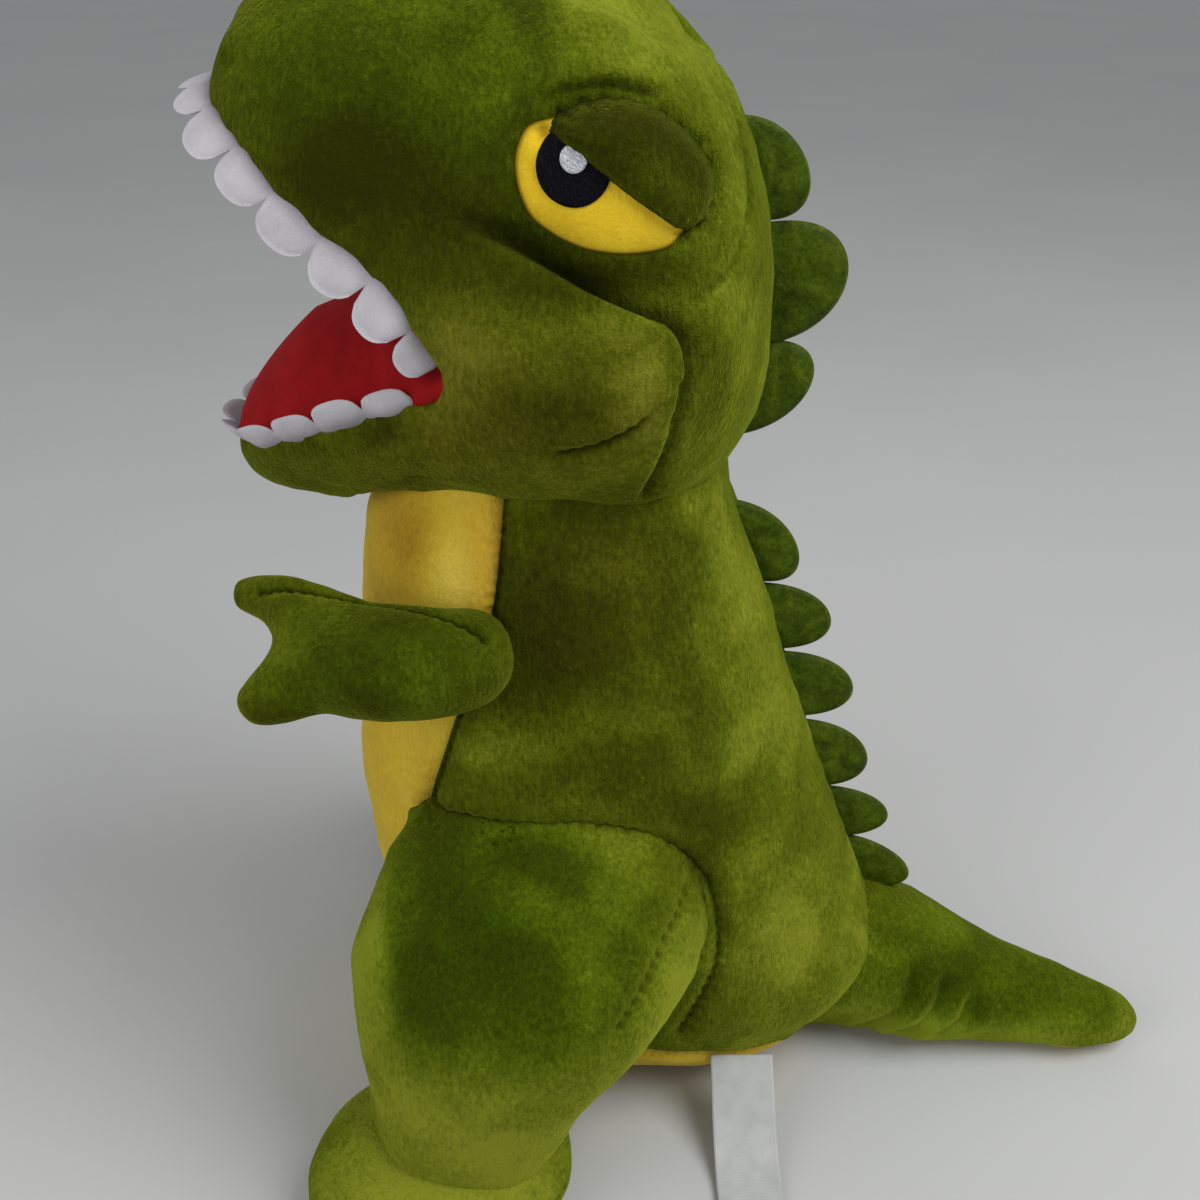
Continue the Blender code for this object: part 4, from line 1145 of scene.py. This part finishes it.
def tooth_row(name, node_name, tree, lip, teeth, height, hang, seed, last=1.0):
    """A scalloped strip of thick felt, one rounded tooth after another along a lip."""
    random = np.random.default_rng(seed)
    steps, rows = 14, 9
    base, thick = 0.0024, 0.0018
    left = [np.array(p) for p in lip]
    whole = left + [np.array((-p[0], p[1], p[2])) for p in reversed(left[:-1])]
    on_lip = [tree.find_nearest(Vector(p * CM))[0] for p in spline(whole, teeth * 2 + 1)]
    wide = np.ones(teeth)
    wide[[0, -1]] = last
    ends = np.r_[0.0, np.cumsum(wide)] / wide.sum()
    fine = spline(on_lip, 2001)
    turns = np.interp(np.arange(teeth * steps + 1) / steps, np.arange(teeth + 1), ends)
    places = fine[np.round(turns * 2000).astype(int)]
    tall = (1.0 + random.uniform(-0.10, 0.10, teeth)) * wide ** 0.7
    lean = random.uniform(-0.16, 0.16, teeth)
    points, marks = [], []
    for i, place in enumerate(places):
        run = heading(places, i)
        tooth = min(i // steps, teeth - 1)
        phase = (i - tooth * steps) / steps * 2.0 - 1.0
        outward = unit(np.array([place[0], place[1] + 0.04, 0.0]))
        front = 1.0 - abs(i / (len(places) - 1) * 2.0 - 1.0)
        down = np.array(hang[0]) * (1.0 - front) + np.array(hang[1]) * front + outward * 0.30
        down += run * lean[tooth] * (1.0 - phase * phase)
        down -= run * (down @ run) * 0.85
        down = unit(down)
        side = unit(np.cross(run, down))
        if side @ outward < 0.0:
            side = -side
        reach = base + height * tall[tooth] * max(1.0 - abs(phase) ** 2.4, 0.0) ** 0.5
        ring = []
        for k in range(rows):
            share = k / (rows - 1)
            half = thick / 2.0 * (1.0 - 0.45 * abs(phase) ** 4) * max(1.0 - share ** 5, 0.0) ** 0.5
            puff = 0.0006 * (1.0 - phase * phase) * math.sin(math.pi * min(share * 1.1, 1.0))
            spot = place - down * TOOTH_TUCK + down * (reach + TOOTH_TUCK) * share
            ring.append((spot + side * (half + puff), spot + side * (puff * 0.5 - half), share))
        points += [r[0] for r in ring] + [r[1] for r in reversed(ring)]
        # painted shade on the felt by the lip, fading towards the tooth's tip
        marks += [math.exp(-((r[2] * (reach + TOOTH_TUCK)) / 0.0036) ** 2)
                  for r in ring + ring[::-1]]
    made = skin(name, points, capped_faces(len(places), rows * 2), seam=marks)
    dress(made, WHITE, "white_felt", "head", node_name)


# ---- eyes ----

def badge(name, outline, tree, lift, bulge, power, rings=16, pucker=0.0, smooth=True, rim=0.6,
          nap=0.0):
    """A patch laid on the left side of the head, domed from its edge to its middle."""
    curve = spline(outline, 120, closed=True) if smooth else np.array(outline)
    around = len(curve)
    centre = curve.mean(axis=0)
    direction = Vector((-1.0, 0.0, 0.0))
    middle = tree.ray_cast(Vector((0.4, *(centre * CM))), direction)
    out = (middle[1] + Vector((0.6, 0.0, 0.0))).normalized()
    points, marks = [], []
    for k in range(rings + 2):
        share = max(min(k / rings, 1.0), 0.004)
        height = lift + bulge * (1.0 - share ** power) ** 0.5
        if k > rings:
            height = -0.003
        for j, (y, z) in enumerate(centre + (curve - centre) * share):
            hit = tree.ray_cast(Vector((0.4, y * CM, z * CM)), direction)[0]
            tight = 1.0 + pucker * share ** 12 * math.cos(j * 2.0 * math.pi / 4.0)
            points.append(hit + out * height * tight)
            # a darker rim: the eye patch's edging, and on the lid its edging thread with painted
            # shade under its edge
            marks.append(max(share - 0.93, 0.0) / 0.07)
    faces = grid_faces(rings + 2, around, True) + [tuple(range(around))]
    return skin(name, points, faces, seam=np.array(marks, np.float32) * rim,
                nap=np.full(len(marks), nap))


def circle(centre, radius):
    """A round outline in the side view."""
    turns = [2.0 * math.pi * i / CIRCLE_PLACES for i in range(CIRCLE_PLACES)]
    return [(centre[0] + radius * math.cos(a), centre[1] + radius * math.sin(a)) for a in turns]


def eyelid_outline():
    """The lid's round upper edge, closed by its straight fold over the eye."""
    upper = spline(EYELID_ROUND, 90)
    fold = np.linspace(upper[-1], upper[0], 42)[1:-1]
    return np.vstack([upper, fold])


def build_eyes(tree):
    """Patch, pupil and glint laid on each other, and the padded lid over them."""
    patch = badge("eye_patch_plush", EYE_PATCH, tree, 0.0004, 0.0009, 5.0, rim=1.0)
    on_patch = tree_of(patch)
    pupil = badge("pupil_embroidery", circle(*PUPIL), on_patch, 0.0004, 0.0006, 8.0)
    on_pupil = tree_of(pupil)
    glint = badge("glint_embroidery", circle(*GLINT), on_pupil, 0.0003, 0.0006, 4.0, 8)
    # the lid's rim darkened: edging thread with painted shade under it
    lid = badge("eyelid_plush", eyelid_outline(), tree, 0.0002, 0.0076, 2.6, 26, pucker=0.25,
                smooth=False, rim=0.9, nap=-0.30)
    for piece, material, slot, node_name in ((patch, EYE_YELLOW, "yellow_plush", "eye_patch"),
                                             (pupil, BLACK_THREAD, "black_thread", "pupil"),
                                             (glint, WHITE_THREAD, "white_thread", "eye_glint"),
                                             (lid, GREEN, "green_plush", "eyelid")):
        for made, side in ((piece, "left"), (mirrored(piece, piece.name), "right")):
            dress(made, material, slot, "head", node_name + "_" + side)


# ---- spikes ----

def build_spike(name, corners, body, node_name, seed):
    """A flat stuffed spike: two layers sewn round the edge, creased towards its root."""
    top, tip, bottom = [np.array(c, float) for c in corners]
    middle = (top + bottom) / 2.0
    depth = tip - middle
    half = (top - bottom) / 2.0
    angle = np.linspace(0.0, math.pi, 40)
    arc = [middle + half * math.cos(a) + depth * math.sin(a) ** 0.75 for a in angle]
    root = [bottom - depth * 0.5, top - depth * 0.5]
    outline = np.vstack([arc, np.linspace(root[0], root[1], 12)])
    around, rings = len(outline), 14
    centre = middle + depth * 0.30
    shift = Vector((seed * 3.1, seed * 1.3, 0.0))
    points, marks = [], []
    order = [(1.0, k) for k in range(rings + 1)] + [(-1.0, k) for k in range(rings, -1, -1)]
    for sign, k in order:
        share = max(k / rings, 0.004)
        for y, z in centre + (outline - centre) * share:
            puff = 0.0021 * (1.0 - share ** 3.0) ** 0.6 + 0.0005
            crease = noise.noise(Vector((y * 0.9, z * 0.9, sign * 5.0)) + shift)
            crease += 0.5 * noise.noise(Vector((y * 2.2, z * 2.2, sign * 5.0)) + shift)
            rim = 0.0 if share > 0.999 else 1.0
            x = sign * (puff + 0.0011 * crease * (1.0 - share ** 4)) * rim + sign * 0.0003
            points.append((x, y * CM, z * CM))
            marks.append(0.8 * math.exp(-((share - 0.90) / 0.035) ** 2))
    made = skin(name, points, capped_faces(len(order), around), seam=marks)
    dress(made, SPIKE, "spike_plush", body, node_name)


# ---- limbs ----

def build_legs(torso_tree):
    form = loft("leg", LEG, False, 2.1)
    points = coordinates(form.data)
    behind = np.maximum(points[:, 1] + 0.010, 0.0) / 0.045
    points[:, 0] -= REAR_TURN_IN * behind ** 2
    set_coordinates(form.data, points)
    points = knit(form, voxel=0.0042)
    shape = swell(form, points[:, 2] < 0.02, cap=0.0016)
    shape.push(LEG_BUMPS)
    shape.lumps((0.026, 0.0014, 21), (0.010, 0.0005, 23), (0.0040, 0.00016, 24))
    shape.set_into(torso_tree, 0.012)
    shape.update()
    dart = shape.line(THIGH_DART, 1, 60)
    shape.sew(dart, 0.0012, 0.0024, 0.0, 0.01, 0.3, 0.1)
    shape.dots(dart, 0.0040, 0.0016, 0.0016)
    shape.brush(LEG_NAP_AND_LIGHT)
    shape.tint(LEG_TINTED)
    shape.lay(THIGH_DARK, -0.15, 0.0026)
    shape.done()
    dress_limbs(form, mirrored(form, "plush_leg"), "torso", ("leg_cover_{}", "leg_filling_{}"))


def foot_ring(height, grow):
    """Places round the foot at a height in centimetres, grow times as far out as its rim."""
    places = []
    for i in range(FOOT_RING_PLACES):
        angle = 2.0 * math.pi * i / FOOT_RING_PLACES
        u = 3.95 * grow * math.cos(angle)
        v = (-0.25 + 4.5 * math.sin(angle)) * grow
        x = FOOT_CENTRE[0] + u * math.cos(FOOT_SPLAY) - v * math.sin(FOOT_SPLAY)
        y = FOOT_CENTRE[1] + u * math.sin(FOOT_SPLAY) + v * math.cos(FOOT_SPLAY)
        places.append(Vector((x, y, height)) * CM)
    return places


def build_feet():
    form = loft("foot", FOOT, True, 2.2)
    turn = Matrix.Rotation(FOOT_SPLAY, 4, "Z")
    form.data.transform(Matrix.Translation(Vector((*FOOT_CENTRE, 0.0)) * CM) @ turn)
    points = knit(rest_on_floor(form), voxel=0.0038)
    shape = swell(form, points[:, 2] < 0.003, cap=0.0014)
    shape.lumps((0.024, 0.0011, 31), (0.010, 0.0004, 33))
    shape.update()
    shape.sew(shape.onto(foot_ring(1.35, 1.03)), 0.0014, 0.0018)
    shape.brush(FOOT_BRUSHED)
    shape.done()
    dress_limbs(form, mirrored(form, "plush_foot"), "torso", ("foot_cover_{}", "foot_filling_{}"))


def ball_chain(name, chains):
    """Balls run together along each chain; the net laid over them makes one skin."""
    bm = bmesh.new()
    for chain in chains:
        for x, y, z, radius in spline(chain, 26):
            place = Matrix.Translation(Vector((x, y, z)) * CM)
            bmesh.ops.create_icosphere(bm, subdivisions=3, radius=radius * CM, matrix=place)
    return from_bmesh(name, bm)


def build_arms(torso_tree):
    form = ball_chain("arm", ARM)
    points = knit(form, voxel=0.0026, rounds=5)
    shape = swell(form, points[:, 1] > -0.030, cap=0.0010)
    shape.lumps((0.016, 0.0009, 41), (0.008, 0.0003, 43))
    shape.set_into(torso_tree, 0.008)
    shape.update()
    seam = [shape.tree.ray_cast(Vector((x, y, 30.0)) * CM, Vector((0.0, 0.0, -1.0)))[0]
            for x, y in spline(ARM_SEAM, 90)]
    shape.sew([p for p in seam if p], 0.0014, 0.0018, 0.4)
    shape.brush(ARM_BRUSHED)
    shape.tint(ARM_TINTED)
    shape.done()
    other = mirrored(form, "plush_arm")
    shoulder = Matrix.Translation(SHOULDER)
    other.data.transform(shoulder @ Matrix.Rotation(-RIGHT_ARM_LIFT, 4, "X") @ shoulder.inverted())
    dress_limbs(form, other, "{}_arm", ("arm_cover_{}", "arm_filling_{}"))


def build_tail():
    form = rest_on_floor(loft("tail", TAIL, True, 2.1))
    points = knit(form, voxel=0.0038)
    shape = swell(form, (points[:, 1] < 0.09) | (points[:, 2] < 0.003), cap=0.0014)
    shape.lumps((0.022, 0.0010, 51), (0.010, 0.0004, 53))
    shape.update()
    for side in SIDES:
        for a, b in TAIL_CREASES:
            bend = ((a[0] + b[0]) / 2.0 + 0.25, (a[1] + b[1]) / 2.0)
            shape.sew(shape.line((a, bend, b), side, 50), 0.0018, 0.0026, 0.0, 0.01, 0.6, 0.2)
        shape.sew(shape.line(TAIL_SEAM, side, 200), 0.0012, 0.0018)
    shape.brush(TAIL_NAP_AND_LIGHT)
    shape.tint(TAIL_TINTED)
    shape.done()
    under, cover = divide(form, None, "plush_tail_underside", "plush_tail_cover",
                          TAIL_SEAM_Z * CM)
    dress_green(cover, None, ("tail_cover", "tail_filling"))
    dress_yellow(under, None, "tail_underside_panel")
    for made in (cover, under):
        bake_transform(made)


# ---- care label ----

def build_label():
    """A satin ribbon that comes out of the seam, drops to the floor and ends in a hem."""
    run = spline(LABEL_RUN, 90) * CM
    across = np.linspace(-0.5, 0.5, 25)
    points = []
    for i, (x, z) in enumerate(run):
        share = i / (len(run) - 1)
        hem = 0.0006 * math.exp(-((share - 0.86) / 0.012) ** 2)
        for t in across:
            curl = 0.0010 * share * (abs(t) * 2.0) ** 4
            wave = 0.0005 * math.sin(9.0 * share + 5.0 * t) * share
            points.append((x, LABEL_CENTRE_Y * CM + t * LABEL_WIDTH + 0.0012 * share ** 2,
                           z + hem + curl + abs(wave)))
    label = new_object("satin_care_label", points, grid_faces(len(run), len(across), False))
    thicken(label, 0.0004, -1.0)
    dress(label, SATIN, "label_satin", "torso", "care_label")


# ---- camera, light and floor ----

CAMERA_PLACE = (0.38, 0.0, 0.40)
CAMERA_PITCH = math.radians(29.6)
CAMERA_LENS = 39.0
CAMERA_SENSOR = 36.0
CAMERA_NEAR = 0.01
FLOOR = 12.0                         # half the floor's width
SKY_COLOUR = (0.95, 0.98, 1.0, 1.0)
SKY_STRENGTH = 0.42
LAMPS = (("key", (0.35, 0.75, 1.15), 0.9, 13.0),        # place, size, power
         ("fill", (0.75, -0.95, 0.75), 1.0, 6.0))
LAMPS_AIM = (0.0, 0.0, 0.15)


def aim(obj, direction):
    obj.rotation_euler = direction.to_track_quat("-Z", "Y").to_euler()


def build_camera():
    data = bpy.data.cameras.new("camera")
    data.lens = CAMERA_LENS
    data.sensor_width = CAMERA_SENSOR
    data.clip_start = CAMERA_NEAR
    camera = add_object("camera", data)
    camera.location = CAMERA_PLACE
    aim(camera, Vector((-math.cos(CAMERA_PITCH), 0.0, -math.sin(CAMERA_PITCH))))
    bpy.context.scene.camera = camera


def build_floor():
    corners = [(-FLOOR, -FLOOR, 0.0), (FLOOR, -FLOOR, 0.0), (FLOOR, FLOOR, 0.0),
               (-FLOOR, FLOOR, 0.0)]
    floor = new_object("floor", corners, [(0, 1, 2, 3)])
    floor.data.materials.append(floor_paint("floor_paint"))


def build_light():
    world = bpy.data.worlds.new("studio")
    world.use_nodes = True
    background = world.node_tree.nodes["Background"]
    background.inputs["Color"].default_value = SKY_COLOUR
    background.inputs["Strength"].default_value = SKY_STRENGTH
    bpy.context.scene.world = world
    for name, place, size, power in LAMPS:
        light = bpy.data.lights.new(name, "AREA")
        light.shape = "DISK"
        light.size = size
        light.energy = power
        lamp = add_object(name, light)
        lamp.location = place
        aim(lamp, Vector(LAMPS_AIM) - Vector(place))
    bpy.context.scene.view_settings.view_transform = "Standard"


build_camera()
build_floor()
build_light()
torso_tree = build_torso()
head_tree = build_head()
build_lining()
tooth_row("felt_upper_teeth", "upper_teeth", head_tree, UPPER_LIP, UPPER_TEETH, 0.0086,
          ((0.0, -0.60, -0.80), (0.0, -0.96, -0.30)), 7, last=0.72)
tooth_row("felt_lower_teeth", "lower_teeth", head_tree, LOWER_LIP, LOWER_TEETH, 0.0052,
          ((0.0, -0.20, 0.98), (0.0, -0.75, 0.65)), 8)
build_eyes(head_tree)
for number, corners in enumerate(HEAD_SPIKES, 1):
    build_spike("crest_head_%d" % number, corners, "head", "head_spike_%d" % number, number)
for number, corners in enumerate(BACK_SPIKES, 1):
    build_spike("crest_back_%d" % number, corners, "torso", "back_spike_%d" % number, 10 + number)
build_legs(torso_tree)
build_feet()
build_arms(torso_tree)
build_tail()
build_label()
